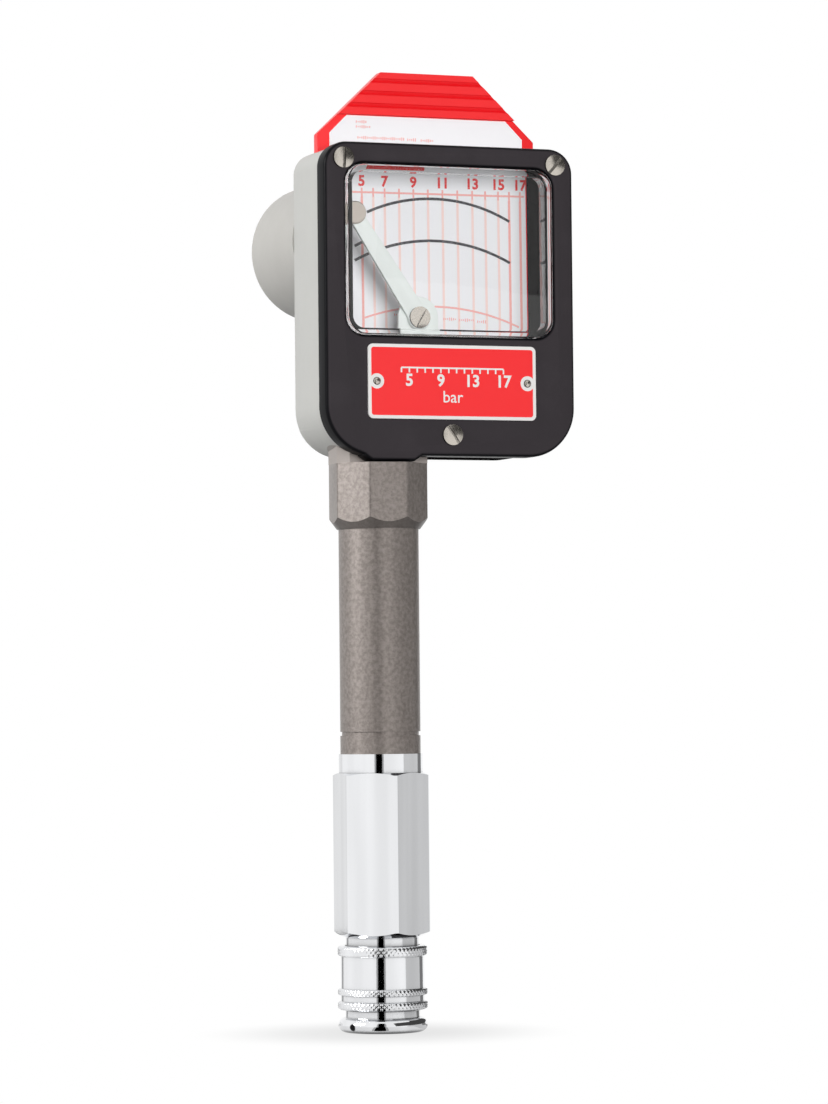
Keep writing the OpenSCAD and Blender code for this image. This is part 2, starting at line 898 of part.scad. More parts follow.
// The toothed bar that the rod lifts
module rack() {
    root_w = rack_pitch * 0.25;
    top_w = rack_pitch * 0.09;
    color("slategray")
    difference() {
        union() {
            slab(gear_y, gear_back) {
                translate([rod_r, rack_foot])
                    square([rack_root_x - rod_r, rack_top - rack_foot]);
                for (i = [rack_first:0])
                    polygon([
                        [rack_root_x, pivot_z + i * rack_pitch - root_w],
                        [pitch_x + addendum, pivot_z + i * rack_pitch - top_w],
                        [pitch_x + addendum, pivot_z + i * rack_pitch + top_w],
                        [rack_root_x, pivot_z + i * rack_pitch + root_w]
                    ]);
            }
            post(clamp_r, clamp_z, clamp_z + clamp_h);
        }
        post(rod_r + seat_gap, clamp_z - over, rod_top);
    }
}

// Stem

// The rod with the flange that the measuring spring sits on
module piston_rod() {
    color("gainsboro") {
        post(screw_end_r, piston_z + 2, piston_z + piston_h);
        post(rod_r, piston_z + piston_h, rod_top);
        post(flange_r, flange_z, flange_z + flange_h);
    }
}

module piston() {
    color("goldenrod")
    difference() {
        post(piston_r, piston_z, piston_z + piston_h);
        post(screw_end_r + seat_gap, piston_z + 2, piston_z + piston_h + over);
        difference() {
            post(bore_r + over, seal_z - seal_minor, seal_z + seal_minor);
            post(piston_r - 2 * seal_minor + run_gap, seal_z - over, seal_z + over);
        }
    }
}

module piston_seal() {
    color([0.12, 0.12, 0.12])
    ring(piston_r - seal_minor + run_gap / 2, seal_minor - run_gap / 2, seal_z);
}

// The sleeve that the piston runs in, set in the stem from below
module cylinder_liner() {
    color("goldenrod")
    difference() {
        post(chamber_r - seat_gap, bore_z, chamber_z);
        post(bore_r, bore_z - over, chamber_z + over);
    }
}

module measuring_spring() {
    color("dimgray")
    coil(spring_mean_r, spring_wire_r, spring_z, guide_z, 9);
}

module guide_bush() {
    color("peru")
    difference() {
        post(guide_r - seat_gap, guide_z, thread_top);
        post(rod_r + run_gap, guide_z - over, thread_top + over);
    }
}

// The tube with its eight-sided collar and its upper thread
module stem() {
    color("gray")
    difference() {
        union() {
            post(tube_r, stem_z, flats_z);
            intersection() {
                collar_prism(collar_z - over, seat_z);
                turned([
                    [0, collar_z],
                    [tube_r + lip, collar_z],
                    [collar_r + lip, flats_z],
                    [collar_r + lip, seat_z + over],
                    [0, seat_z + over]
                ]);
            }
            post(thread_r, seat_z, thread_top);
        }
        post(spigot_r + seat_gap, stem_z - over, bore_z);
        post(chamber_r, bore_z - over, guide_z);
        post(guide_r, guide_z - over, thread_top + over);
        difference() {
            post(tube_r + over, groove_z, groove_z + groove_h);
            post(tube_r - groove_d, groove_z - over, groove_z + groove_h + over);
        }
    }
}

module stem_gasket() {
    color("sienna")
    difference() {
        post(spigot_r, stem_z + spigot_h, bore_z);
        post(bore_r, stem_z, bore_z + over);
    }
}

// Coupler

// The hexagon with its thread above and the socket for the adapter below
module connector() {
    color("whitesmoke")
    difference() {
        union() {
            post(socket_out_r, 0, hex_z);
            post(neck_r, neck_low, hex_z + hex_chamfer);
            intersection() {
                translate([0, 0, hex_z - over])
                    rotate([0, 0, hex_turn])
                        cylinder(r = hex_r, h = hex_h + 2 * over, $fn = 6);
                turned([
                    [0, hex_z],
                    [neck_r + seat_gap, hex_z],
                    [hex_r + lip, hex_z + hex_chamfer],
                    [hex_r + lip, shoulder_z - hex_chamfer / 2],
                    [hex_af / 2 + seat_gap, shoulder_z],
                    [0, shoulder_z]
                ]);
            }
            post(shoulder_r, shoulder_z - over, stem_z);
            post(spigot_r, stem_z - over, stem_z + spigot_h);
        }
        post(socket_r, -over, socket_h);
        translate([0, 0, socket_h])
            cylinder(r1 = socket_r, r2 = passage_r, h = socket_r - passage_r);
        post(passage_r, socket_h, valve_z + over);
        post(valve_r, valve_z, stem_z + spigot_h + over);
        difference() {
            post(socket_r + 2 * ring_minor, socket_seal_z - ring_minor, socket_seal_z + ring_minor);
            post(socket_r - over, 0, socket_h);
        }
        for (i = [0:ball_count - 1])
            rotate([0, 90, 360 * i / ball_count])
                translate([-ball_z, 0, socket_r - over])
                    cylinder(r = ball_r + seat_gap, h = socket_out_r - socket_r + 2 * over);
    }
}

module valve_seat() {
    color("goldenrod")
    difference() {
        post(valve_r - seat_gap, valve_z, valve_z + seat_h);
        post(passage_r, valve_z - over, valve_z + seat_h + over);
    }
}

module valve_poppet() {
    color("darkslategray") {
        post(poppet_r, poppet_z, poppet_z + poppet_h);
        post(poppet_stem_r, poppet_z + poppet_h, poppet_z + poppet_h + poppet_l);
    }
}

module valve_spring() {
    color("dimgray")
    coil((poppet_stem_r + valve_r) / 2, valve_wire_r, poppet_z + poppet_h, retainer_z, 6);
}

module valve_retainer() {
    color("goldenrod")
    difference() {
        post(valve_r - seat_gap, retainer_z, retainer_z + retainer_h);
        post(passage_r, retainer_z - over, retainer_z + retainer_h + over);
    }
}

// The sliding sleeve with its three knurled rings
module sleeve() {
    knurl_r = sleeve_r + knurl_out;
    rings = [[0, 2.6], [4.2, 6.4], [sleeve_h - 3.3, sleeve_h]];
    bevel = 0.5;
    color("gainsboro")
    difference() {
        union() {
            post(sleeve_r, sleeve_z, sleeve_top);
            for (r = rings)
                translate([0, 0, sleeve_z])
                    rotate_extrude()
                        polygon([
                            [sleeve_in_r, r[0]],
                            [knurl_r - bevel, r[0]],
                            [knurl_r, r[0] + bevel],
                            [knurl_r, r[1] - bevel],
                            [knurl_r - bevel, r[1]],
                            [sleeve_in_r, r[1]]
                        ]);
        }
        post(socket_out_r + run_gap, sleeve_z - over, guide_in + over);
        post(sleeve_in_r, guide_in, sleeve_top + over);
    }
}

module sleeve_spring() {
    color("dimgray")
    coil(sleeve_mean_r, sleeve_wire_r, guide_in, neck_low, 4);
}

module locking_balls() {
    color("silver")
    for (i = [0:ball_count - 1])
        rotate([0, 0, 360 * i / ball_count])
            translate([ball_c, 0, ball_z])
                sphere(ball_r);
}

module socket_seal() {
    color([0.12, 0.12, 0.12])
    ring(socket_r + ring_minor + seat_gap, ring_minor - seat_gap, socket_seal_z);
}

// The bead at the mouth, pressed on the socket's tube to keep the sleeve
module end_ring() {
    round_r = bead_h / 2;
    color("gainsboro")
    difference() {
        union() {
            post(bead_r - round_r, 0, bead_h);
            ring(bead_r - round_r, round_r, round_r);
            post(step_r, 0, bead_h + step_h);
        }
        post(socket_out_r + seat_gap, -over, bead_h + step_h + over);
    }
}

housing();
drum();
front_cover();
lens();
cover_screws();
nameplate();
nameplate_rivets();
card_holder();
recording_card();
holder_spring();
pointer();
pointer_hub();
arm_screw();
stylus();
pivot_screw();
pinion_shaft();
shaft_bush();
bridge();
bridge_screws();
rack();
piston_rod();
piston();
piston_seal();
cylinder_liner();
measuring_spring();
guide_bush();
stem();
stem_gasket();
connector();
valve_seat();
valve_poppet();
valve_spring();
valve_retainer();
sleeve();
sleeve_spring();
locking_balls();
socket_seal();
end_ring();
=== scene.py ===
"""Looks of a recording compression tester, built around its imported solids. Lengths are in metres."""
import json
import math

import bmesh
import bpy
from mathutils import Matrix, Vector


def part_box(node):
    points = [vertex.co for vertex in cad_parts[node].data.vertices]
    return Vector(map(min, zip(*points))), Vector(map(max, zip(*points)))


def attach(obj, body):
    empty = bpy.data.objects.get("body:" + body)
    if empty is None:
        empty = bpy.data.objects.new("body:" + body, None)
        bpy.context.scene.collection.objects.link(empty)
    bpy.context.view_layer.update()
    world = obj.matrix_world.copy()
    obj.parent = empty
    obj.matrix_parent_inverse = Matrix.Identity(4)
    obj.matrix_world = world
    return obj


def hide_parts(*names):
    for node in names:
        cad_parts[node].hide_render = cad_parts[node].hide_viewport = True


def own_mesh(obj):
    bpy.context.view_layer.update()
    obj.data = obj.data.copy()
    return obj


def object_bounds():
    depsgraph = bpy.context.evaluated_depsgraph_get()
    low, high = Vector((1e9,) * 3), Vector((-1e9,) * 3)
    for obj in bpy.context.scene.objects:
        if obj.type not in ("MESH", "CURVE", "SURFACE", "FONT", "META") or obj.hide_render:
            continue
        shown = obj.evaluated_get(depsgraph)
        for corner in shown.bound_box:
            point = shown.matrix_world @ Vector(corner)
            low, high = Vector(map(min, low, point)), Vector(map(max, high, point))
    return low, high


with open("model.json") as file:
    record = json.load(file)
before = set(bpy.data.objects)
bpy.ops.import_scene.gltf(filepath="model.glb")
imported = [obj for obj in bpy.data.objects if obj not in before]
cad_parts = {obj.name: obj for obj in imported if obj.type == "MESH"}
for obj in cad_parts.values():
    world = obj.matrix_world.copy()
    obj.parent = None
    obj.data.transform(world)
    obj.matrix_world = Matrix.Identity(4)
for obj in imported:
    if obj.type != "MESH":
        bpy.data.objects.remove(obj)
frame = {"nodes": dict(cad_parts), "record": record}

cad_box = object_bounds()
MM = 0.001
QUARTER_TURN = math.pi / 2


# Expressions on shader values


class Wire:
    """One output of a material's node, used in plain arithmetic."""

    def __init__(self, sheet, socket):
        self.sheet = sheet
        self.socket = socket

    def math(self, operation, *values):
        """A Math node on these values."""
        return self.sheet.node("ShaderNodeMath", {"operation": operation}, dict(enumerate(values)))

    def __add__(self, other):
        return self.math("ADD", self, other)

    def __sub__(self, other):
        return self.math("SUBTRACT", self, other)

    def __rsub__(self, other):
        return self.math("SUBTRACT", other, self)

    def __mul__(self, other):
        return self.math("MULTIPLY", self, other)

    def __pow__(self, other):
        return self.math("POWER", self, other)

    def __rpow__(self, other):
        return self.math("POWER", other, self)

    def __gt__(self, other):
        return self.math("GREATER_THAN", self, other)

    def __lt__(self, other):
        return self.math("LESS_THAN", self, other)

    def __abs__(self):
        return self.math("ABSOLUTE", self)

    __radd__ = __add__
    __rmul__ = __mul__

    def larger(self, other):
        """The larger of two values."""
        return self.math("MAXIMUM", self, other)


# Octaves of a noise, and how strong its finest ones are
PLAIN, MIDDLING, RICH, RICHEST = 2.0, 3.0, 4.0, 5.0
SOFT_GRIT, EVEN_GRIT, CRISP_GRIT, HARD_GRIT = 0.5, 0.55, 0.6, 0.65
NOISE_MEAN = 0.5
# Numbers of the colour sockets of a Mix node
MIX_FACTOR, MIX_FIRST, MIX_SECOND, MIX_RESULT = 0, 6, 7, 2
OPENNESS_SAMPLES = 6
WHITE = (1.0, 1.0, 1.0, 1.0)


class Sheet:
    """The node tree of one material or of the world."""

    def __init__(self, tree):
        self.tree = tree
        tree.nodes.clear()

    def node(self, kind, settings=None, sockets=None, out=0):
        """Adds a node: its settings first, then values or links for its sockets."""
        made = self.tree.nodes.new(kind)
        for name, value in (settings or {}).items():
            setattr(made, name, value)
        for key, value in (sockets or {}).items():
            if isinstance(value, Wire):
                self.tree.links.new(value.socket, made.inputs[key])
            else:
                made.inputs[key].default_value = value
        return Wire(self, made.outputs[out]) if made.outputs else None

    def mix(self, factor, first, second):
        """A blend of two colours."""
        sockets = {MIX_FACTOR: factor, MIX_FIRST: first, MIX_SECOND: second}
        return self.node("ShaderNodeMix", {"data_type": "RGBA"}, sockets, MIX_RESULT)

    def place(self):
        """The point on the piece, in the part's own frame."""
        return self.node("ShaderNodeTexCoord", out="Object")

    def noise(self, scale, detail=MIDDLING, grit=EVEN_GRIT, vector=None):
        """Cloudy noise between 0 and 1, with features of about one part in scale of a metre."""
        vector = vector or self.place()
        sockets = {"Vector": vector, "Scale": scale, "Detail": detail, "Roughness": grit}
        return self.node("ShaderNodeTexNoise", None, sockets)

    def streaks(self, scales, detail, grit):
        """Noise with a scale of its own in each direction."""
        sockets = {0: self.place(), 1: scales}
        stretched = self.node("ShaderNodeVectorMath", {"operation": "MULTIPLY"}, sockets)
        return self.noise(1.0, detail, grit, stretched)

    def steps(self, value, low, high):
        """A smooth rise from 0 at low to 1 at high."""
        sockets = {"Value": value, "From Min": low, "From Max": high}
        return self.node("ShaderNodeMapRange", {"interpolation_type": "SMOOTHSTEP"}, sockets)

    def part(self, vector, axis):
        """One of a vector's X, Y and Z."""
        return self.node("ShaderNodeSeparateXYZ", None, {0: vector}, axis)

    def facing(self, axis):
        """How far a face looks along an axis: 1 along it, 0 across it and -1 against it."""
        return self.part(self.node("ShaderNodeTexCoord", out="Normal"), axis)

    def inside_shell(self, low, high, corner, skin):
        """1 inside an upright box with rounded corners, at least skin metres below its sides."""
        place = self.place()
        squares = []
        for axis, a, b in (("X", low.x, high.x), ("Z", low.z, high.z)):
            over = abs(self.part(place, axis) - (a + b) / 2) - ((b - a) / 2 - corner)
            squares.append(over.larger(0.0) ** 2)
        reach = (squares[0] + squares[1]) ** 0.5
        return (reach < corner - skin) * (self.part(place, "Y") < high.y - skin)

    def openness(self, reach):
        """1 on open faces, falling towards 0 in grooves and corners within about reach metres."""
        settings = {"samples": OPENNESS_SAMPLES}
        return self.node("ShaderNodeAmbientOcclusion", settings, {"Distance": reach}, "AO")

    def bump(self, height, depth):
        """A normal raised by a height between 0 and 1, depth metres deep."""
        sockets = {"Strength": 1.0, "Distance": depth, "Height": height}
        return self.node("ShaderNodeBump", None, sockets)

    def principled(self, sockets):
        """A principled shader with these sockets."""
        return self.node("ShaderNodeBsdfPrincipled", None, sockets)

    def glow(self, strength):
        """A shader that gives off white light."""
        return self.node("ShaderNodeEmission", None, {"Color": WHITE, "Strength": strength})

    def layered(self, factor, first, second):
        """A blend of two shaders."""
        return self.node("ShaderNodeMixShader", None, {0: factor, 1: first, 2: second})

    def show(self, shader):
        """Makes a shader the material's surface."""
        self.node("ShaderNodeOutputMaterial", None, {"Surface": shader})


def new_sheet(name):
    """A new material and its empty node tree."""
    material = bpy.data.materials.new(name)
    material.use_nodes = True
    return material, Sheet(material.node_tree)


# Colours


def tone(red, green, blue):
    """A linear colour from its 0 to 255 display values, by the standard display curve."""
    def linear(v):
        v = v / 255
        return v / 12.92 if v <= 0.04045 else ((v + 0.055) / 1.055) ** 2.4
    return (linear(red), linear(green), linear(blue), 1.0)


def shade(colour, factor):
    """A colour made darker or lighter."""
    return tuple(min(1.0, c * factor) for c in colour[:3]) + (1.0,)


CAST_GREY = tone(204, 204, 200)
DRUM_GREY = tone(196, 194, 189)
STEM_LIGHT = tone(148, 140, 135)
STEM_DARK = tone(120, 112, 107)
PAD_GREY = tone(166, 158, 153)
COVER_BLACK = tone(58, 54, 57)
# Painted shade on the cover's flanks
COVER_FLANK_SHADE = tone(14, 14, 17)
# Painted shade inside the housing's shell
INSIDE_SHADE_BLACK = tone(24, 22, 22)
# Painted shade on the flanks of screw heads
FLANK_SHADE_BROWN = tone(58, 52, 46)
PLASTIC_RED = tone(254, 48, 52)
# Painted shade in the grip's grooves
GROOVE_SHADE_RED = tone(236, 4, 18)
PLATE_RED = tone(252, 46, 50)
PLATE_WHITE = tone(238, 236, 234)
CARD_WHITE = tone(249, 249, 252)
PRINT_RED = tone(238, 58, 58)
PRINT_ROSE = tone(248, 178, 172)
PRINT_PINK = tone(252, 222, 216)
SCRIBE_GREY = tone(62, 62, 66)
POINTER_PALE = tone(240, 246, 243)
STYLUS_TAN = tone(200, 190, 180)
CHROME = tone(244, 245, 247)
NICKEL = tone(210, 203, 193)
BRASS = tone(205, 168, 96)
SPRING_GREY = tone(150, 150, 154)
RUBBER = tone(30, 30, 31)
FIBRE = tone(128, 82, 58)


# Sizes taken from the solids

cover_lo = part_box("front_cover")[0]
housing_lo, housing_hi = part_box("housing")
lens_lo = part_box("lens")[0]
plate_lo, plate_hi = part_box("nameplate")
card_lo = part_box("recording_card")[0]
sleeve_lo, sleeve_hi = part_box("sleeve")
holder_lo, holder_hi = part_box("card_holder")
back_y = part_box("drum")[0].y

PAD_R = 15.3 * MM
PAD_TOP = housing_lo.z + 13.0 * MM
GRIP_GROOVE = 0.8 * MM
GROOVE_HALF = 0.75 * MM
GROOVES = [holder_hi.z - down * MM for down in (2.6, 6.4, 10.2)]
SHELL_SKIN = 1.2 * MM
SHELL_CORNER = 16.0 * MM
shell_foot = cover_lo.z + housing_lo.x - cover_lo.x
shell_low = Vector((housing_lo.x, housing_lo.y, shell_foot))
shell_high = Vector((housing_hi.x, back_y, housing_hi.z))
SHELL = (shell_low, shell_high, SHELL_CORNER, SHELL_SKIN)
BEAD_R = 13.3 * MM
BEAD_MARK_UP = 1.9 * MM
mark_turn = math.radians(64.0)
bead_mark = (-BEAD_R * math.sin(mark_turn), -BEAD_R * math.cos(mark_turn), BEAD_MARK_UP)


# Enamels

CLOUD_SCALE = 60.0
GRAIN_SCALE = 2600.0
GRAIN_STEPS = (0.58, 0.72)
GRAIN_STRENGTH = 2.5
GRAIN_SHADE = 0.6
GLOSS_SCALE = 220.0
GLOSS_SPREAD = 0.14
PEEL_SCALE = 900.0
PEEL_SHARE = 0.7
PEEL_DEPTH = 0.02 * MM
PAD_GRAIN = 0.08
ENAMEL_SPECULAR = 0.18
INSIDE_ROUGHNESS = 0.5


def clouded(s, colour, grain):
    """An enamel's colour with soft clouds and fine dark grain."""
    mixed = s.mix(s.noise(CLOUD_SCALE), shade(colour, 1 - grain), shade(colour, 1 + grain))
    specks = s.steps(s.noise(GRAIN_SCALE, PLAIN), *GRAIN_STEPS)
    return s.mix(specks * (grain * GRAIN_STRENGTH), mixed, shade(colour, GRAIN_SHADE))


def enamel(name, colour, grain, roughness, shell=None):
    """Stoved enamel on a casting with an orange-peel skin.

    A shell gets matt black inside as painted shade, and has the stem's pad at its foot.
    """
    material, s = new_sheet(name)
    mixed = clouded(s, colour, grain)
    rough = roughness + GLOSS_SPREAD * (s.noise(GLOSS_SCALE) - NOISE_MEAN)
    if shell:
        x, y, z = (s.part(s.place(), axis) for axis in "XYZ")
        pad = ((x ** 2 + y ** 2) ** 0.5 < PAD_R) * (z < PAD_TOP)
        mixed = s.mix(pad, mixed, clouded(s, PAD_GREY, PAD_GRAIN))
    peel = s.noise(PEEL_SCALE, PLAIN) * PEEL_SHARE
    peel = peel + s.noise(GRAIN_SCALE, PLAIN) * (1 - PEEL_SHARE)
    skin = s.principled({
        "Base Color": mixed,
        "Roughness": rough,
        "Normal": s.bump(peel, PEEL_DEPTH),
        "Specular IOR Level": ENAMEL_SPECULAR,
    })
    # Painted shade: the inside of the shell is matt black.
    if shell:
        matt = {"Color": INSIDE_SHADE_BLACK, "Roughness": INSIDE_ROUGHNESS}
        inside = s.node("ShaderNodeBsdfDiffuse", None, matt)
        skin = s.layered(s.inside_shell(*shell), skin, inside)
    s.show(skin)
    return material


BLOTCH_SCALE = 900.0
BLOTCH_STEPS = (0.25, 0.75)
BLOTCH_SHARE = 0.6
FLECK_SCALE = 3200.0
FLECK_STRENGTH = 0.25
PALE_FLECK_STEPS = (0.60, 0.72)
PALE_FLECK_SHADE = 1.25
DARK_FLECK_STEPS = (0.40, 0.28)
DARK_FLECK_SHADE = 0.6
LEDGE_STEPS = (-0.3, -0.6)
LEDGE_STRENGTH = 0.65
LEDGE_SHADE = 0.3
STEM_ROUGHNESS = 0.28
STEM_ROUGHNESS_SPREAD = 0.14
STEM_METALLIC = 0.5
FINE_SKIN_DEPTH = 0.012 * MM


def speckled_enamel(name):
    """Silvery grey enamel of the stem with fine specks, with painted shade on ledges that look down.
    """
    material, s = new_sheet(name)
    blotch = s.noise(BLOTCH_SCALE, MIDDLING, CRISP_GRIT)
    fleck = s.noise(FLECK_SCALE, PLAIN)
    mixed = s.mix(s.steps(blotch, *BLOTCH_STEPS), STEM_DARK, STEM_LIGHT)
    pale = s.steps(fleck, *PALE_FLECK_STEPS) * FLECK_STRENGTH
    mixed = s.mix(pale, mixed, shade(STEM_LIGHT, PALE_FLECK_SHADE))
    dark = s.steps(fleck, *DARK_FLECK_STEPS) * FLECK_STRENGTH
    mixed = s.mix(dark, mixed, shade(STEM_DARK, DARK_FLECK_SHADE))
    # Painted shade on faces that look down, such as the collar's ledge.
    under = s.steps(s.facing("Z"), *LEDGE_STEPS) * LEDGE_STRENGTH
    s.show(s.principled({
        "Base Color": s.mix(under, mixed, shade(STEM_DARK, LEDGE_SHADE)),
        "Roughness": STEM_ROUGHNESS + STEM_ROUGHNESS_SPREAD * blotch,
        "Normal": s.bump(blotch * BLOTCH_SHARE + fleck * (1 - BLOTCH_SHARE), FINE_SKIN_DEPTH),
        "Metallic": STEM_METALLIC,
    }))
    return material


RUB_SCALE = 70.0
RUB_STEPS = (0.45, 0.75)
RUB_STRENGTH = 0.5
RUB_SHADE = 1.25
COVER_GRAIN_SCALE = 2400.0
COVER_GRAIN_SHARE = 0.4
COVER_PEEL_SCALE = 700.0
COVER_FACE_STEPS = (0.8, 0.98)
COVER_ROUGHNESS = 0.28
FACE_ROUGHNESS = 0.1
RUB_ROUGHNESS = 0.14
COVER_SPECULAR = 0.05


def black_enamel(name):
    """Black enamel of the cover: satin on its face, with a fine grain, and glossier on its flanks,
    which carry near-black painted shade.
    """
    material, s = new_sheet(name)
    rub = s.noise(RUB_SCALE, RICHEST, CRISP_GRIT)
    grain = s.noise(COVER_GRAIN_SCALE, PLAIN)
    # Painted shade: away from the face the colour goes near black.
    face = s.steps(abs(s.facing("Y")), *COVER_FACE_STEPS)
    rubbed = s.steps(rub, *RUB_STEPS) * RUB_STRENGTH
    satin = s.mix(rubbed, COVER_BLACK, shade(COVER_BLACK, RUB_SHADE))
    skin = grain * COVER_GRAIN_SHARE + s.noise(COVER_PEEL_SCALE) * (1 - COVER_GRAIN_SHARE)
    s.show(s.principled({
        "Base Color": s.mix(face, COVER_FLANK_SHADE, satin),
        "Roughness": COVER_ROUGHNESS + FACE_ROUGHNESS * face + RUB_ROUGHNESS * rub,
        "Normal": s.bump(skin, FINE_SKIN_DEPTH),
        "Specular IOR Level": COVER_SPECULAR,
    }))
    return material


WEAR_SCALE = 900.0
WEAR_STEPS = (0.62, 0.8)
WEAR_STRENGTH = 0.35
WEAR_SHADE = 0.75
PLATE_ROUGHNESS = 0.28
PLATE_ROUGHNESS_SPREAD = 0.12
PLATE_GLOSS_SCALE = 400.0
PLATE_SKIN_SCALE = 700.0
PLATE_SKIN_DEPTH = 0.015 * MM
PLATE_COAT = 0.2


def printed_enamel(name, colour):
    """Smooth printed enamel of the nameplate."""
    material, s = new_sheet(name)
    wear = s.steps(s.noise(WEAR_SCALE, RICH, HARD_GRIT), *WEAR_STEPS) * WEAR_STRENGTH
    s.show(s.principled({
        "Base Color": s.mix(wear, colour, shade(colour, WEAR_SHADE)),
        "Roughness": PLATE_ROUGHNESS + PLATE_ROUGHNESS_SPREAD * s.noise(PLATE_GLOSS_SCALE),
        "Normal": s.bump(s.noise(PLATE_SKIN_SCALE), PLATE_SKIN_DEPTH),
        "Coat Weight": PLATE_COAT,
    }))
    return material


# Plastics and rubber

HAZE_SCALE = 160.0
HAZE_STEPS = (0.55, 0.8)
HAZE_ROUGHNESS = 0.05
PANE_ROUGHNESS = 0.02
PANE_WAVE_SCALE = 55.0
PANE_WAVE_DEPTH = 0.06 * MM
PANE_IOR = 1.42


def clear_plastic(name):
    """Clear moulded plastic that lets the light through to the card."""
    material, s = new_sheet(name)
    haze = s.steps(s.noise(HAZE_SCALE, RICH), *HAZE_STEPS)
    pane = s.principled({
        "Base Color": WHITE,
        "Roughness": PANE_ROUGHNESS + HAZE_ROUGHNESS * haze,
        "Normal": s.bump(s.noise(PANE_WAVE_SCALE, PLAIN), PANE_WAVE_DEPTH),
        "Transmission Weight": 1.0,
        "IOR": PANE_IOR,
    })
    shadow = s.node("ShaderNodeLightPath", out="Is Shadow Ray")
    spread = s.node("ShaderNodeLightPath", out="Is Diffuse Ray")
    clear = s.node("ShaderNodeBsdfTransparent", None, {"Color": WHITE})
    s.show(s.layered(shadow.larger(spread), pane, clear))
    return material


PLASTIC_CLOUD_SCALE = 90.0
PLASTIC_LOW_SHADE = 0.94
PLASTIC_HIGH_SHADE = 1.04
GROOVE_STEPS = (1.2 * GROOVE_HALF, 0.8 * GROOVE_HALF)
PLASTIC_ROUGHNESS = 0.3
PLASTIC_ROUGHNESS_SPREAD = 0.12
PLASTIC_GLOSS_SCALE = 300.0
PLASTIC_SKIN_SCALE = 500.0
PLASTIC_SKIN_DEPTH = 0.03 * MM
PLASTIC_SPECULAR = 0.45


def grip_plastic(name, colour, groove_shade):
    """Glossy moulded plastic with a faintly uneven skin and bands of painted shade where its grooves
    are.
    """
    material, s = new_sheet(name)
    low, high = shade(colour, PLASTIC_LOW_SHADE), shade(colour, PLASTIC_HIGH_SHADE)
    mixed = s.mix(s.noise(PLASTIC_CLOUD_SCALE), low, high)
    z = s.part(s.place(), "Z")
    front = s.part(s.place(), "Y") < holder_lo.y + GRIP_GROOVE
    # Painted shade: darker red bands at the front of the grooves.
    for height in GROOVES:
        mixed = s.mix(s.steps(abs(z - height), *GROOVE_STEPS) * front, mixed, groove_shade)
    s.show(s.principled({
        "Base Color": mixed,
        "Roughness": PLASTIC_ROUGHNESS + PLASTIC_ROUGHNESS_SPREAD * s.noise(PLASTIC_GLOSS_SCALE),
        "Normal": s.bump(s.noise(PLASTIC_SKIN_SCALE, PLAIN), PLASTIC_SKIN_DEPTH),
        "Specular IOR Level": PLASTIC_SPECULAR,
    }))
    return material


MOTTLE_SCALE = 1200.0
MOTTLE_LOW_SHADE = 0.8
MOTTLE_HIGH_SHADE = 1.15
MOTTLE_DEPTH = 0.03 * MM
MATT_ROUGHNESS = 0.7
MATT_ROUGHNESS_SPREAD = 0.2


def matt_seal(name, colour):
    """Matt rubber or fibre with a mottled skin."""
    material, s = new_sheet(name)
    mottle = s.noise(MOTTLE_SCALE, RICH, CRISP_GRIT)
    low, high = shade(colour, MOTTLE_LOW_SHADE), shade(colour, MOTTLE_HIGH_SHADE)
    s.show(s.principled({
        "Base Color": s.mix(mottle, low, high),
        "Roughness": MATT_ROUGHNESS + MATT_ROUGHNESS_SPREAD * (mottle - NOISE_MEAN),
        "Normal": s.bump(mottle, MOTTLE_DEPTH),
    }))
    return material


# Card and ink

FIBRE_SCALES = (2200.0, 2200.0, 700.0)
FIBRE_SHADE = 0.97
CARD_ROUGHNESS = 0.5
CARD_ROUGHNESS_SPREAD = 0.15
CARD_SPECULAR = 0.4


def card_stock(name):
    """Coated white card with a faint fibre."""
    material, s = new_sheet(name)
    fibre = s.streaks(FIBRE_SCALES, MIDDLING, CRISP_GRIT)
    s.show(s.principled({
        "Base Color": s.mix(fibre, shade(CARD_WHITE, FIBRE_SHADE), CARD_WHITE),
        "Roughness": CARD_ROUGHNESS + CARD_ROUGHNESS_SPREAD * fibre,
        "Normal": s.bump(fibre, FINE_SKIN_DEPTH),
        "Specular IOR Level": CARD_SPECULAR,
    }))
    return material


INK_SCALE = 2400.0
INK_STEPS = (0.5, 0.75)
INK_ROUGHNESS = 0.55
INK_ROUGHNESS_SPREAD = 0.1
INK_SPECULAR = 0.3


def ink(name, colour, worn):
    """Printed or scribed line with a slightly broken tone."""
    material, s = new_sheet(name)
    broken = s.noise(INK_SCALE)
    s.show(s.principled({
        "Base Color": s.mix(s.steps(broken, *INK_STEPS) * worn, colour, CARD_WHITE),
        "Roughness": INK_ROUGHNESS + INK_ROUGHNESS_SPREAD * broken,
        "Specular IOR Level": INK_SPECULAR,
    }))
    return material


# Metals

MARK_SCALE = 900.0
MARK_MEAN = 0.4
MARK_DEPTH = 0.004 * MM
MARK_DEPTH_SPREAD = 0.02 * MM
TARNISH_SCALE = 80.0
TARNISH_SHADE = 0.95
FLANK_STEPS = (0.83, 0.72)
STREAK_SCALES = (150.0, 150.0, 7.0)
STREAK_STEPS = (0.3, 0.7)
STREAK_SHADE = 0.86
CREASE_STEPS = (0.3, 0.9)
CREASE_SHADE = 0.1
PUNCH_STEPS = (1.3 * MM, 0.9 * MM)
EVENLY = (1.0, 1.0, 1.0)


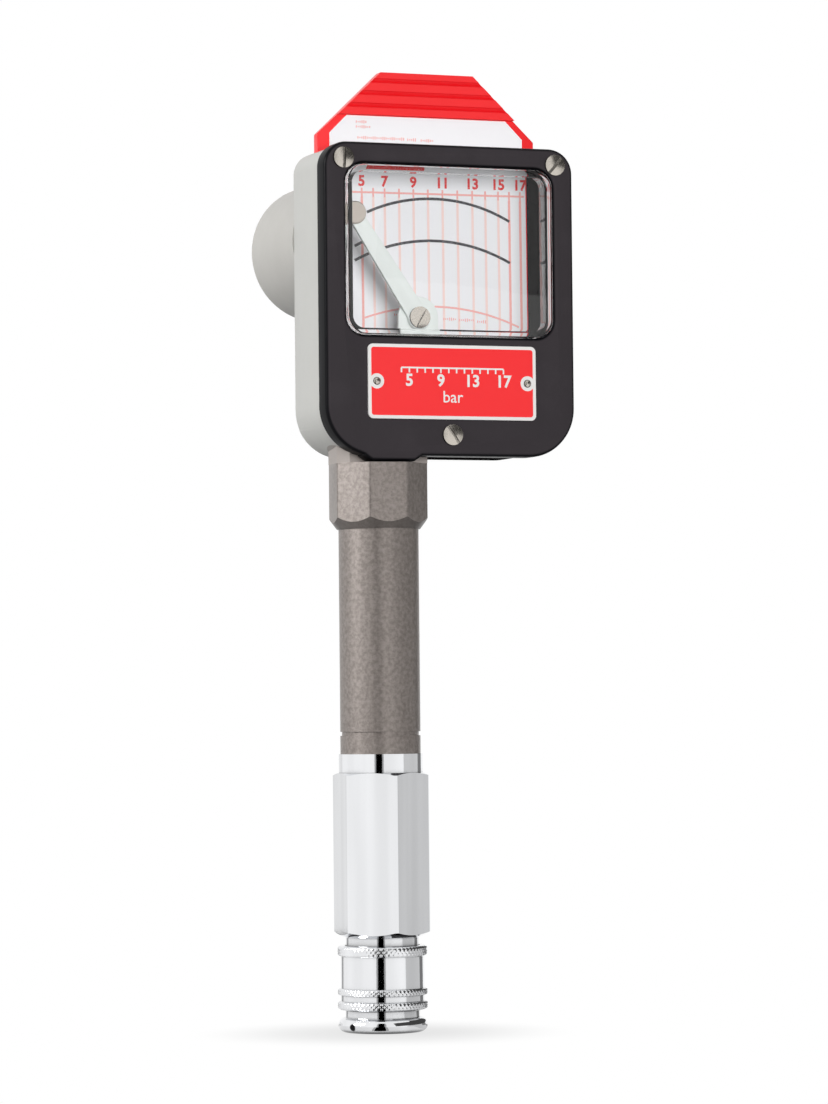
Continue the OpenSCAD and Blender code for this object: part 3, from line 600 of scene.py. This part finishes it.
def metal(name, colour, roughness, grain, brushed=EVENLY, metallic=1.0, flank_shade=None, crease=None,
          punched=None):
    """Bare or plated metal with fine working marks.

    Steep flanks and narrow creases may carry painted shade, the creases also painted dark reflection,
    and a punched dimple a black spot of painted shade.
    """
    material, s = new_sheet(name)
    marks = s.streaks([MARK_SCALE * b for b in brushed], MIDDLING, CRISP_GRIT)
    mixed = s.mix(s.noise(TARNISH_SCALE), shade(colour, TARNISH_SHADE), colour)
    # Painted shade on steep flanks.
    if flank_shade:
        mixed = s.mix(s.steps(abs(s.facing("Y")), *FLANK_STEPS), mixed, flank_shade)
    if crease:
        streak = s.streaks(STREAK_SCALES, PLAIN, SOFT_GRIT)
        mixed = s.mix(s.steps(streak, *STREAK_STEPS), shade(colour, STREAK_SHADE), mixed)
        # Painted shade and dark reflection in narrow creases.
        opened = s.steps(s.openness(crease), *CREASE_STEPS)
        mixed = s.mix(opened, shade(colour, CREASE_SHADE), mixed)
    if punched:
        # Painted shade: a black spot for the hollow of a punched dimple.
        ends = {0: s.place(), 1: punched}
        away = s.node("ShaderNodeVectorMath", {"operation": "DISTANCE"}, ends, "Value")
        mixed = s.mix(s.steps(away, *PUNCH_STEPS), mixed, RUBBER)
    s.show(s.principled({
        "Base Color": mixed,
        "Roughness": roughness + grain * (marks - MARK_MEAN),
        "Metallic": metallic,
        "Normal": s.bump(marks, MARK_DEPTH + MARK_DEPTH_SPREAD * grain),
    }))
    return material


# Finish of each material slot, and of the print

# Chrome's roughness and grain, and how far its painted crease shade reaches.
CHROME_WORK = {"roughness": 0.06, "grain": 0.04, "crease": 2.0 * MM}
FINISHES = {
    "cast_grey": enamel("cast_enamel", CAST_GREY, grain=0.04, roughness=0.42, shell=SHELL),
    "drum_grey": enamel("drum_enamel", DRUM_GREY, grain=0.06, roughness=0.38),
    "stem_grey": speckled_enamel("speckled_enamel"),
    "black_enamel": black_enamel("cover_enamel"),
    "clear_plastic": clear_plastic("window_plastic"),
    "bright_steel": metal(
        "nickelled_steel", NICKEL, roughness=0.24, grain=0.16, flank_shade=FLANK_SHADE_BROWN),
    "red_enamel": printed_enamel("plate_white", PLATE_WHITE),
    "red_plastic": grip_plastic("holder_plastic", PLASTIC_RED, GROOVE_SHADE_RED),
    "card_paper": card_stock("card_stock"),
    "spring_steel": metal("spring_wire", SPRING_GREY, roughness=0.35, grain=0.2),
    "pale_metal": metal(
        "pointer_metal", POINTER_PALE, roughness=0.42, grain=0.12, brushed=(1.0, 1.0, 0.1),
        metallic=0.15),
    "stylus_metal": metal(
        "stylus_metal", STYLUS_TAN, roughness=0.36, grain=0.16, metallic=0.6),
    "brass": metal("turned_brass", BRASS, roughness=0.28, grain=0.2, brushed=(1.0, 1.0, 8.0)),
    "black_rubber": matt_seal("seal_rubber", RUBBER),
    "fibre": matt_seal("gasket_fibre", FIBRE),
    "chrome": metal("bright_chrome", CHROME, **CHROME_WORK),
}
PRINT_FINISHES = {
    "plate_red": printed_enamel("plate_red", PLATE_RED),
    "print_red": ink("print_red", PRINT_RED, worn=0.35),
    "print_rose": ink("print_rose", PRINT_ROSE, worn=0.3),
    "print_pink": ink("print_pink", PRINT_PINK, worn=0.3),
    "plate_white": printed_enamel("plate_print", PLATE_WHITE),
    "scribe": ink("scribed_line", SCRIBE_GREY, worn=0.35),
}
SLOT_OF = {row["node"]: row["material_slot"] for row in frame["record"]["subparts"]}
BODY_OF = {n: b for b, nodes in frame["record"]["behaviour"]["bodies"].items() for n in nodes}


def paint(piece, material):
    """Gives a piece one material."""
    piece.data.materials.clear()
    piece.data.materials.append(material)


for node_name, node_object in frame["nodes"].items():
    paint(node_object, FINISHES[SLOT_OF[node_name]])
# The end ring's chrome, with a black spot of painted shade at the dimple in its bead.
marked_chrome = metal("marked_chrome", CHROME, punched=bead_mark, **CHROME_WORK)
paint(frame["nodes"]["end_ring"], marked_chrome)


# Making pieces

WELD = 2e-7
TOUCH = 0.01 * MM


def object_from(name, bm, material):
    """An object from a finished mesh, with one material."""
    mesh = bpy.data.meshes.new(name)
    bm.to_mesh(mesh)
    bm.free()
    made = bpy.data.objects.new(name, mesh)
    bpy.context.scene.collection.objects.link(made)
    paint(made, material)
    return made


def piece_from(name, bm, material, body):
    """A piece from a finished mesh, riding on a body."""
    bmesh.ops.recalc_face_normals(bm, faces=bm.faces)
    piece = object_from(name, bm, material)
    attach(piece, body)
    return piece


def smooth(piece, degrees):
    """Smooth shading, with edges sharper than the angle kept crisp."""
    bm = bmesh.new()
    bm.from_mesh(piece.data)
    for face in bm.faces:
        face.smooth = True
    for edge in bm.edges:
        edge.smooth = edge.calc_face_angle(0.0) < math.radians(degrees)
    bm.to_mesh(piece.data)
    bm.free()


def welded(node):
    """A copy of a node's mesh with its double points joined."""
    bm = bmesh.new()
    bm.from_mesh(frame["nodes"][node].data)
    bmesh.ops.remove_doubles(bm, verts=bm.verts, dist=WELD)
    return bm


def stand_in(node, ending, bm, crisp):
    """A smooth piece that stands for a node, with the node's finish and body."""
    slot = SLOT_OF[node]
    piece = piece_from(node + ending, bm, FINISHES[slot], BODY_OF[node])
    smooth(piece, crisp)
    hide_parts(node)
    return piece


# Rounded edges

FLAT = math.radians(0.2)
SHARP = math.radians(25.0)
ROUND_SEGMENTS = 3
ROUND_PROFILE = 0.5
ROUND_CRISP = 35.0
COVER_ROUND = 1.3 * MM
BACK_ROUND = 0.4 * MM
LENS_ROUND = 0.6 * MM
HEX_CHAMFER = 0.6 * MM
HEX_SEGMENTS = 1
HEX_CRISP = 20.0
COLLAR_ROUND = 0.5 * MM
HOLDER_ROUND = 0.35 * MM
GROOVE_SHARE = 0.35
POINTER_ROUND = 0.2 * MM
LONG_EDGE = 10.0 * MM


def softened(node, width, wanted, segments=ROUND_SEGMENTS, crisp=ROUND_CRISP, shift=None):
    """Stands for a node with a copy whose wanted sharp edges are rounded or chamfered."""
    bm = welded(node)
    bmesh.ops.dissolve_limit(bm, angle_limit=FLAT, verts=bm.verts, edges=bm.edges)
    if shift:
        for vert in bm.verts:
            shift(vert.co)
    edges = [
        e for e in bm.edges
        if len(e.link_faces) == 2
        and e.calc_face_angle(0.0) > SHARP
        and wanted(e.verts[0].co, e.verts[1].co)
    ]
    bmesh.ops.bevel(
        bm, geom=edges, offset=width, offset_type="OFFSET", segments=segments,
        profile=ROUND_PROFILE, affect="EDGES", clamp_overlap=False,
    )
    stand_in(node, "_finished", bm, crisp)


def at_depth(y):
    """Picks edges that lie at one depth."""
    return lambda a, b: abs(a.y - y) < TOUCH and abs(b.y - y) < TOUCH


def outside_of(lo, hi, margin):
    """Picks edges whose middle lies close to the sides of a box seen from the front."""
    def wanted(a, b):
        m = (a + b) / 2
        return min(m.x - lo.x, hi.x - m.x, m.z - lo.z, hi.z - m.z) < margin
    return wanted


def upright(a, b):
    """Picks long upright edges."""
    return math.hypot(a.x - b.x, a.y - b.y) < TOUCH and abs(a.z - b.z) > LONG_EDGE


def back_outline(a, b):
    """Picks the edges round the housing's back."""
    near_side = outside_of(shell_low, shell_high, 3 * BACK_ROUND)
    return at_depth(back_y)(a, b) and near_side(a, b)


def behind_grip(a, b):
    """Picks the edges that lie behind the grip's grooves."""
    return min(a.y, b.y) > holder_lo.y + GRIP_GROOVE


def shallow_groove(point):
    """Makes the grip's grooves shallower."""
    depth = point.y - holder_lo.y
    if depth < GRIP_GROOVE:
        point.y = holder_lo.y + GROOVE_SHARE * depth


softened("front_cover", COVER_ROUND, at_depth(cover_lo.y))
softened("housing", BACK_ROUND, back_outline)
softened("lens", LENS_ROUND, at_depth(lens_lo.y))
softened("connector", HEX_CHAMFER, upright, HEX_SEGMENTS, HEX_CRISP)
softened("stem", COLLAR_ROUND, upright)
softened("card_holder", HOLDER_ROUND, behind_grip, shift=shallow_groove)
for pointer_node in ("pointer", "pointer_hub"):
    softened(pointer_node, POINTER_ROUND, at_depth(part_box(pointer_node)[0].y))


# Springs

COIL_CRISP = 50.0


def pressed_spring(node):
    """Stands for a coil spring, fixed at its upper end, with a smooth copy that has a mesh of its own;
    nothing here presses it as its joint moves.
    """
    piece = stand_in(node, "_coil", welded(node), COIL_CRISP)
    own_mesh(piece)


for joint_row in frame["record"]["behaviour"]["joints"]:
    for spring in joint_row.get("deforming_nodes", []):
        pressed_spring(spring["node"])


# Nameplate field

BORDER = 1.0 * MM
FIELD_ROUND = 0.8 * MM
FIELD_PROUD = 0.06 * MM
RIVET_INSET = 2.75 * MM
NOTCH = 2.3 * MM
CORNER_STEPS = 6
NOTCH_STEPS = 24


def slab(bm, outline, y0, y1):
    """An upright outline of (x, z) points made solid between two depths."""
    front = [bm.verts.new((x, y0, z)) for x, z in outline]
    back = [bm.verts.new((x, y1, z)) for x, z in outline]
    bm.faces.new(front)
    bm.faces.new(back[::-1])
    for i in range(len(outline)):
        j = (i + 1) % len(outline)
        bm.faces.new((front[i], back[i], back[j], front[j]))


def arc(cx, cz, radius, start, end, steps):
    """Points on an arc, with angles in degrees from +X towards +Z."""
    angles = [math.radians(start + (end - start) * i / steps) for i in range(steps + 1)]
    return [(cx + radius * math.cos(a), cz + radius * math.sin(a)) for a in angles]


def nameplate_field():
    """The plate's red field, cut back round the rivets."""
    x0, x1 = plate_lo.x + BORDER, plate_hi.x - BORDER
    z0, z1 = plate_lo.z + BORDER, plate_hi.z - BORDER
    middle = (z0 + z1) / 2
    r = FIELD_ROUND
    reach = math.degrees(math.acos((RIVET_INSET - BORDER) / NOTCH))
    left, right = plate_lo.x + RIVET_INSET, plate_hi.x - RIVET_INSET
    outline = arc(x0 + r, z0 + r, r, 180, 270, CORNER_STEPS)
    outline += arc(x1 - r, z0 + r, r, 270, 360, CORNER_STEPS)
    outline += arc(right, middle, NOTCH, -reach, -360 + reach, NOTCH_STEPS)
    outline += arc(x1 - r, z1 - r, r, 0, 90, CORNER_STEPS)
    outline += arc(x0 + r, z1 - r, r, 90, 180, CORNER_STEPS)
    outline += arc(left, middle, NOTCH, 180 - reach, -180 + reach, NOTCH_STEPS)
    bm = bmesh.new()
    slab(bm, outline, plate_lo.y - FIELD_PROUD, plate_lo.y + FIELD_PROUD)
    piece_from("nameplate_field", bm, PRINT_FINISHES["plate_red"], "frame")


nameplate_field()


# Print on the card

PRINT_PROUD = 0.02 * MM
# Where each scale value lies across the card, in millimetres
SCALE_X = {4: -5.3, 5: -1.8, 7: 5.4, 9: 14.5, 11: 23.7, 13: 33.2, 15: 41.5, 17: 48.5}
SCALE_FIRST, SCALE_LAST = min(SCALE_X), max(SCALE_X)
STRONG_RULES = (5, 16, 17)
NUMBER_Z = 256.6 * MM
NUMBER_SIZE = 4.3 * MM
NUMBER_BOLD = 0.15 * MM
LETTER_STEPS = 3
HEADER_Z = 253.4 * MM
HEADER_W = 0.55 * MM
TICK = 1.3 * MM
RULE_LOW_Z = 211.5 * MM
RULE_W = 0.75 * MM
SCRIBE_W = 0.8 * MM
SCRIBE_STEPS = 40
ARC_X = 20.65 * MM
# Each arc's centre height, radius, and first and last angle
SCRIBED = [
    (200.5 * MM, 51.5 * MM, 114.0, 61.8),
    (187.2 * MM, 52.4 * MM, 118.4, 62.3),
    (191.4 * MM, 52.4 * MM, 118.4, 115.5),
]
FOOT_ARC = (152.6 * MM, 67.6 * MM, 109.0, 66.5)
FOOT_STEPS = 24
# Each row of small print from left to right and its height, in millimetres
SMALL_PRINT = [
    (8.0, 9.6, 217.6), (23.6, 27.6, 216.6), (28.6, 33.4, 216.4), (34.4, 37.4, 216.0),
    (-4.1, -0.6, 275.4), (-4.1, 0.6, 273.9), (-3.6, 11.3, 270.6), (12.6, 15.2, 270.5),
    (17.0, 21.0, 270.4),
]
STROKE_TALL = 1.0 * MM
STROKE_W = 0.3 * MM
STROKE_PITCH = 0.62 * MM
STROKE_MEAN = 0.7
STROKE_SWING = 0.3
STROKE_BEAT = 5.0
TOP_BAR = (-1.5 * MM, 17.0 * MM, 260.4 * MM)
TOP_BAR_W = 1.0 * MM


def ribbon(bm, points, width, y):
    """A flat strip along (x, z) points, facing the front."""
    rows = []
    for i, (x, z) in enumerate(points):
        before = points[max(0, i - 1)]
        after = points[min(len(points) - 1, i + 1)]
        along = Vector((after[0] - before[0], after[1] - before[1])).normalized()
        side = Vector((-along.y, along.x)) * width / 2
        rows.append([bm.verts.new((x + k * side.x, y, z + k * side.y)) for k in (1, -1)])
    for (a, b), (c, d) in zip(rows, rows[1:]):
        bm.faces.new((a, b, d, c))


def scale_x(value):
    """Where a scale value lies across the card."""
    low = max(k for k in SCALE_X if k <= value)
    high = min(k for k in SCALE_X if k >= value)
    if low == high:
        return SCALE_X[low] * MM
    share = (value - low) / (high - low)
    return (SCALE_X[low] + share * (SCALE_X[high] - SCALE_X[low])) * MM


def small_print(bm, y):
    """Rows of short strokes that stand for print too small to read."""
    for x0, x1, z in SMALL_PRINT:
        count = int((x1 - x0) * MM / STROKE_PITCH)
        for i in range(count + 1):
            x = x0 * MM + i * STROKE_PITCH
            half = STROKE_TALL / 2 * (STROKE_MEAN + STROKE_SWING * math.sin(STROKE_BEAT * i))
            ribbon(bm, [(x, z * MM - half), (x, z * MM + half)], STROKE_W, y)


def print_on_card(name, bm, ink_name):
    """A printed piece that moves with the card."""
    piece_from(name, bm, PRINT_FINISHES[ink_name], "card_group")


def card_rules():
    """The card's upright rules, its header line with ticks, its foot curve and its small print."""
    y = card_lo.y - PRINT_PROUD
    pale = bmesh.new()
    rose = bmesh.new()
    header = [(card_lo.x + TICK, HEADER_Z), (scale_x(SCALE_LAST) + TICK, HEADER_Z)]
    ribbon(rose, header, HEADER_W, y)
    for value in range(SCALE_FIRST, SCALE_LAST + 1):
        x = scale_x(value)
        rule = rose if value in STRONG_RULES else pale
        ribbon(rose, [(x, HEADER_Z - TICK), (x, HEADER_Z + TICK)], HEADER_W, y - PRINT_PROUD)
        ribbon(rule, [(x, RULE_LOW_Z), (x, HEADER_Z - TICK)], RULE_W, y)
    ribbon(rose, arc(ARC_X, *FOOT_ARC, FOOT_STEPS), HEADER_W, y - PRINT_PROUD)
    small_print(rose, y - 2 * PRINT_PROUD)
    print_on_card("card_rules_pale", pale, "print_pink")
    print_on_card("card_rules_rose", rose, "print_rose")
    red = bmesh.new()
    x0, x1, z = TOP_BAR
    ribbon(red, [(x0, z), (x1, z)], TOP_BAR_W, y)
    print_on_card("card_top_bar", red, "print_red")


def letters(name, text, size, place, bold=NUMBER_BOLD):
    """The mesh of plain bold characters that look to the front, centred on a place."""
    curve = bpy.data.curves.new(name + "_curve", "FONT")
    curve.body = text
    curve.size = size
    curve.offset = bold
    curve.align_x = "CENTER"
    curve.align_y = "CENTER"
    curve.resolution_u = LETTER_STEPS
    line = bpy.data.objects.new(name + "_letters", curve)
    bpy.context.scene.collection.objects.link(line)
    line.matrix_world = Matrix.Translation(place) @ Matrix.Rotation(QUARTER_TURN, 4, "X")
    bpy.context.view_layer.update()
    shaped = line.evaluated_get(bpy.context.evaluated_depsgraph_get())
    mesh = bpy.data.meshes.new_from_object(shaped)
    mesh.transform(line.matrix_world)
    bpy.data.objects.remove(line)
    bm = bmesh.new()
    bm.from_mesh(mesh)
    return bm


def card_numbers():
    """The scale's numbers along the card's top; the first value has none."""
    for value in sorted(SCALE_X)[1:]:
        name = "card_number_%d" % value
        place = (scale_x(value), card_lo.y - PRINT_PROUD, NUMBER_Z)
        print_on_card(name, letters(name, str(value), NUMBER_SIZE, place), "print_red")


def scribed_arcs():
    """The dark lines that the stylus has drawn."""
    bm = bmesh.new()
    for scribed in SCRIBED:
        points = arc(ARC_X, *scribed, SCRIBE_STEPS)
        ribbon(bm, points, SCRIBE_W, card_lo.y - 3 * PRINT_PROUD)
    print_on_card("scribed_lines", bm, "scribe")


card_rules()
card_numbers()
scribed_arcs()


# Scale on the nameplate

PLATE_LINE_UP = 4.2 * MM
PLATE_NUMBER_UP = 0.3 * MM
PLATE_UNIT_UP = -4.6 * MM
PLATE_LINE_HALF = 16.5 * MM
PLATE_LINE_W = 0.5 * MM
PLATE_TICK = 1.5 * MM
PLATE_NUMBERS = (5, 9, 13, 17)
PLATE_SIZE = 5.0 * MM
UNIT_BOLD = 0.03 * MM


def print_on_plate(name, bm):
    """A white printed piece on the nameplate."""
    piece_from(name, bm, PRINT_FINISHES["plate_white"], "frame")


def nameplate_scale():
    """A plain scale on the plate: a ticked line, some of the card's numbers and their unit."""
    cx, cz = (plate_lo.x + plate_hi.x) / 2, (plate_lo.z + plate_hi.z) / 2
    y = plate_lo.y - FIELD_PROUD - PRINT_PROUD
    line_z = cz + PLATE_LINE_UP
    bm = bmesh.new()
    line = [(cx - PLATE_LINE_HALF, line_z), (cx + PLATE_LINE_HALF, line_z)]
    ribbon(bm, line, PLATE_LINE_W, y)
    for value in range(SCALE_FIRST, SCALE_LAST + 1):
        along = (value - SCALE_FIRST) / (SCALE_LAST - SCALE_FIRST)
        x = cx + PLATE_LINE_HALF * (2 * along - 1)
        ribbon(bm, [(x, line_z - PLATE_TICK), (x, line_z)], PLATE_LINE_W, y - PRINT_PROUD)
        if value in PLATE_NUMBERS:
            name = "plate_number_%d" % value
            place = (x, y, cz + PLATE_NUMBER_UP)
            print_on_plate(name, letters(name, str(value), PLATE_SIZE, place))
    print_on_plate("plate_scale_line", bm)
    place = (cx, y, cz + PLATE_UNIT_UP)
    print_on_plate("plate_unit", letters("plate_unit", "bar", PLATE_SIZE, place, UNIT_BOLD))


nameplate_scale()


# Coupler

SLEEVE_R = 12.6 * MM
SLEEVE_BORE_R = 9.88 * MM
SLEEVE_WIDE_R = 11.3 * MM
SLEEVE_STEP_UP = 6.2 * MM
KNURL_RINGS = [(0.0, 2.6 * MM), (4.2 * MM, 6.4 * MM), (15.9 * MM, 19.2 * MM)]
KNURL_OUT = 0.95 * MM
KNURL_POWER = 4
KNURL_ROWS = 8
KNURL_TEETH = 64
KNURL_DEPTH = 0.3 * MM
KNURL_SLANT = 0.25
KNURL_CRISP = 50.0
TOOTH_STEPS = 6


def lathe(bm, section, steps, bulge=None):
    """Turns a closed half section of (radius, height) points; bulge may shift a point's radius."""
    rings = []
    for i in range(steps):
        a = 2 * math.pi * i / steps
        ring = []
        for k, (r, z) in enumerate(section):
            radius = r + (bulge(k, a) if bulge else 0.0)
            ring.append(bm.verts.new((radius * math.cos(a), radius * math.sin(a), z)))
        rings.append(ring)
    count = len(section)
    for i in range(steps):
        one, two = rings[i], rings[(i + 1) % steps]
        for k in range(count):
            n = (k + 1) % count
            bm.faces.new((one[k], two[k], two[n], one[n]))


def knurled_sleeve():
    """The sliding sleeve, with diamond teeth cut in its three round beads."""
    z0 = sleeve_lo.z
    step = z0 + SLEEVE_STEP_UP
    section = [
        (SLEEVE_WIDE_R, sleeve_hi.z), (SLEEVE_WIDE_R, step),
        (SLEEVE_BORE_R, step), (SLEEVE_BORE_R, z0),
    ]
    teeth = {}
    for low, high in KNURL_RINGS:
        for row in range(KNURL_ROWS + 1):
            along = row / KNURL_ROWS
            rise = (1 - (2 * along - 1) ** KNURL_POWER) ** 0.5
            teeth[len(section)] = (row, rise)
            section.append((SLEEVE_R + KNURL_OUT * rise, z0 + low + (high - low) * along))

    def bulge(k, angle):
        if k not in teeth:
            return 0.0
        row, rise = teeth[k]
        turn = KNURL_TEETH * angle / (2 * math.pi)
        one = abs(((turn + row * KNURL_SLANT) % 1) * 2 - 1)
        two = abs(((turn - row * KNURL_SLANT) % 1) * 2 - 1)
        return -KNURL_DEPTH * rise * max(one, two)

    bm = bmesh.new()
    lathe(bm, section, KNURL_TEETH * TOOTH_STEPS, bulge)
    stand_in("sleeve", "_knurled", bm, KNURL_CRISP)


knurled_sleeve()


# Drum

DRUM_LIP = 3.2 * MM
DRUM_LIP_T = 0.5 * MM
DRUM_LIP_IN = 0.03 * MM
DRUM_STEPS = 96


def drum_lip():
    """The turned-in rim of the can behind the housing."""
    lo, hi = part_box("drum")
    centre = (lo + hi) / 2
    radius = (hi.z - lo.z) / 2
    section = [
        (radius - DRUM_LIP_IN, DRUM_LIP_IN), (radius - DRUM_LIP, DRUM_LIP_IN),
        (radius - DRUM_LIP, DRUM_LIP_T), (radius - DRUM_LIP_IN, DRUM_LIP_T),
    ]
    bm = bmesh.new()
    lathe(bm, section, DRUM_STEPS)
    seat = Matrix.Translation((centre.x, back_y, centre.z))
    turned = seat @ Matrix.Rotation(-QUARTER_TURN, 4, "X")
    bmesh.ops.transform(bm, matrix=turned, verts=bm.verts)
    piece_from("drum_lip", bm, FINISHES["drum_grey"], "frame")


drum_lip()


# Camera

CAMERA_PLACE = (-0.46915, -1.24256, 0.09633)
CAMERA_TURN = math.radians(-21.145)
CAMERA_TIP = math.radians(2.067)
CAMERA_LEAN = math.radians(-0.555)
CAMERA_LENS = 143.5
CAMERA_NEAR = 0.01


def set_camera():
    """A long lens to the left of the front, low beside the stem and tipped up a little."""
    right = Vector((math.cos(CAMERA_TURN), math.sin(CAMERA_TURN), 0.0))
    ahead = Vector((-math.sin(CAMERA_TURN), math.cos(CAMERA_TURN), 0.0))
    forward = ahead * math.cos(CAMERA_TIP) + Vector((0.0, 0.0, math.sin(CAMERA_TIP)))
    up = right.cross(forward)
    leaned_right = right * math.cos(CAMERA_LEAN) + up * math.sin(CAMERA_LEAN)
    leaned_up = up * math.cos(CAMERA_LEAN) - right * math.sin(CAMERA_LEAN)
    data = bpy.data.cameras.new("camera")
    data.lens = CAMERA_LENS
    data.clip_start = CAMERA_NEAR
    camera = bpy.data.objects.new("camera", data)
    bpy.context.scene.collection.objects.link(camera)
    turned = Matrix((leaned_right, leaned_up, -forward)).transposed().to_4x4()
    camera.matrix_world = Matrix.Translation(CAMERA_PLACE) @ turned
    bpy.context.scene.camera = camera


# Background and floor

AMBIENT = 0.12
FLOOR_PAPER = (0.2, 0.2, 0.2, 1.0)
FLOOR_DROP = 0.4 * MM
FLOOR_SIZE = 6.0
# A painted shadow disc round the part: where it is full and where it ends, and the glow left at its
# middle
SHADOW_DISC_NEAR = 0.012
SHADOW_DISC_FAR = 0.06
SHADOW_DISC_GLOW = 0.78


def seen_ray(s):
    """1 for rays that show the background itself, in the open, in metal or through the window."""
    straight, mirrored, through = (
        s.node("ShaderNodeLightPath", out=name)
        for name in ("Is Camera Ray", "Is Glossy Ray", "Is Transmission Ray")
    )
    return straight.larger(mirrored.larger(through))


def set_world():
    """A white background that lights the part only gently."""
    world = bpy.data.worlds.new("studio")
    world.use_nodes = True
    bpy.context.scene.world = world
    s = Sheet(world.node_tree)
    gentle, white = (
        s.node("ShaderNodeBackground", None, {"Color": WHITE, "Strength": strength})
        for strength in (AMBIENT, 1.0)
    )
    both = s.layered(seen_ray(s), gentle, white)
    s.node("ShaderNodeOutputWorld", None, {"Surface": both})


def set_floor():
    """A pale floor under the coupler that keeps a soft shadow on its paper, and a painted shadow where
    its glow is dimmed near the part.
    """
    material, s = new_sheet("floor_paper")
    paper = s.node("ShaderNodeBsdfDiffuse", None, {"Color": FLOOR_PAPER})
    glow = s.glow(1.0)
    away = s.node("ShaderNodeVectorMath", {"operation": "LENGTH"}, {0: s.place()}, "Value")
    # Painted shadow: near the part the floor glows less, as seen and as reflected.
    share = SHADOW_DISC_GLOW + (1 - SHADOW_DISC_GLOW) * s.steps(away, SHADOW_DISC_NEAR, SHADOW_DISC_FAR)
    s.show(s.layered(seen_ray(s) * share, paper, glow))
    bm = bmesh.new()
    bmesh.ops.create_grid(bm, x_segments=1, y_segments=1, size=FLOOR_SIZE)
    floor = object_from("floor", bm, material)
    floor.location = (0.0, 0.0, cad_box[0].z - FLOOR_DROP)


# Lamps and studio flats

LAMP_TARGET = (0.01, 0.0, 0.17)
# Each lamp's name, place, width, height and power, and whether it shows in the metal
LAMPS = [
    ("left_lamp", (-1.42, 0.05, 0.74), 0.8, 0.6, 18.7, True),
    ("front_lamp", (0.05, -1.58, 0.32), 1.2, 0.9, 25.0, False),
    ("back_lamp", (1.0, 1.4, 0.35), 1.0, 0.8, 16.0, False),
]
FLAT_START = 0.0135
FLAT_REACH = 1.7
FLAT_LOW = -0.5 * FLOOR_DROP
FLAT_OVER = FLAT_LOW + 0.25 * FLOOR_DROP
FLAT_MIDDLE = 0.26
FLAT_HIGH = 2.2
GAP_TURN = -24.9
GAP_REACH = 1.69
LINE_REACH = 0.6
# Each flat's name, azimuth and half angle, lowest and highest edge, brightness and distance
FLATS = [
    ("camera_gap", GAP_TURN, 8.5, FLAT_OVER, FLAT_HIGH, 0.0, GAP_REACH),
    ("gap_edge", GAP_TURN, 12.5, FLAT_LOW, FLAT_HIGH, 0.4, FLAT_REACH),
    ("left_line", -163.0, 5.0, FLAT_OVER, FLAT_OVER, 0.3, LINE_REACH),
    ("right_flat", 73.0, 28.0, FLAT_LOW, FLAT_MIDDLE, 0.62, FLAT_REACH),
    ("right_back_flat", 112.0, 11.0, FLAT_LOW, FLAT_MIDDLE, 0.2, FLAT_REACH),
    ("left_back_flat", -165.0, 14.0, FLAT_LOW, FLAT_MIDDLE, 0.83, FLAT_REACH),
    ("front_flag", 45.0, 33.0, FLAT_MIDDLE, FLAT_HIGH, 0.06, FLAT_REACH),
    ("right_flag", 111.0, 33.0, FLAT_MIDDLE, FLAT_HIGH, 0.06, FLAT_REACH),
]


def soft_box(name, place, width, height, power, mirrored):
    """A large soft lamp that looks at the part's middle; it may show in the metal or not."""
    data = bpy.data.lights.new(name, "AREA")
    data.shape = "RECTANGLE"
    data.size = width
    data.size_y = height
    data.energy = power
    lamp = bpy.data.objects.new(name, data)
    bpy.context.scene.collection.objects.link(lamp)
    lamp.visible_glossy = mirrored
    lamp.visible_transmission = mirrored
    toward = Vector(LAMP_TARGET) - Vector(place)
    aimed = toward.to_track_quat("-Z", "Y").to_matrix().to_4x4()
    lamp.matrix_world = Matrix.Translation(place) @ aimed


def studio_flat(name, azimuth, spread, low, high, level, reach):
    """A flat that shows only in reflections; azimuth 0 is the front, 90 the right.

    A low one runs on along the floor, and one without height lies only there.
    """
    material, s = new_sheet(name)
    s.show(s.glow(level))
    a = math.radians(azimuth)
    outward = Vector((math.sin(a), -math.cos(a), 0.0))
    across = Vector((math.cos(a), math.sin(a), 0.0)) * math.tan(math.radians(spread))
    bm = bmesh.new()

    def corner(away, side, z):
        return bm.verts.new((outward + side * across) * away + Vector((0.0, 0.0, z)))

    foot = [corner(reach, -1, low), corner(reach, 1, low)]
    if high > low:
        bm.faces.new(foot + [corner(reach, 1, high), corner(reach, -1, high)])
    if low <= 0.0:
        bm.faces.new(foot + [corner(FLAT_START, 1, low), corner(FLAT_START, -1, low)])
    flat = object_from(name, bm, material)
    flat.visible_camera = False
    flat.visible_diffuse = False
    flat.visible_shadow = False
    flat.visible_transmission = False


set_camera()
set_world()
set_floor()
for lamp_row in LAMPS:
    soft_box(*lamp_row)
for flat_row in FLATS:
    studio_flat(*flat_row)

bpy.context.scene.view_settings.view_transform = "Standard"
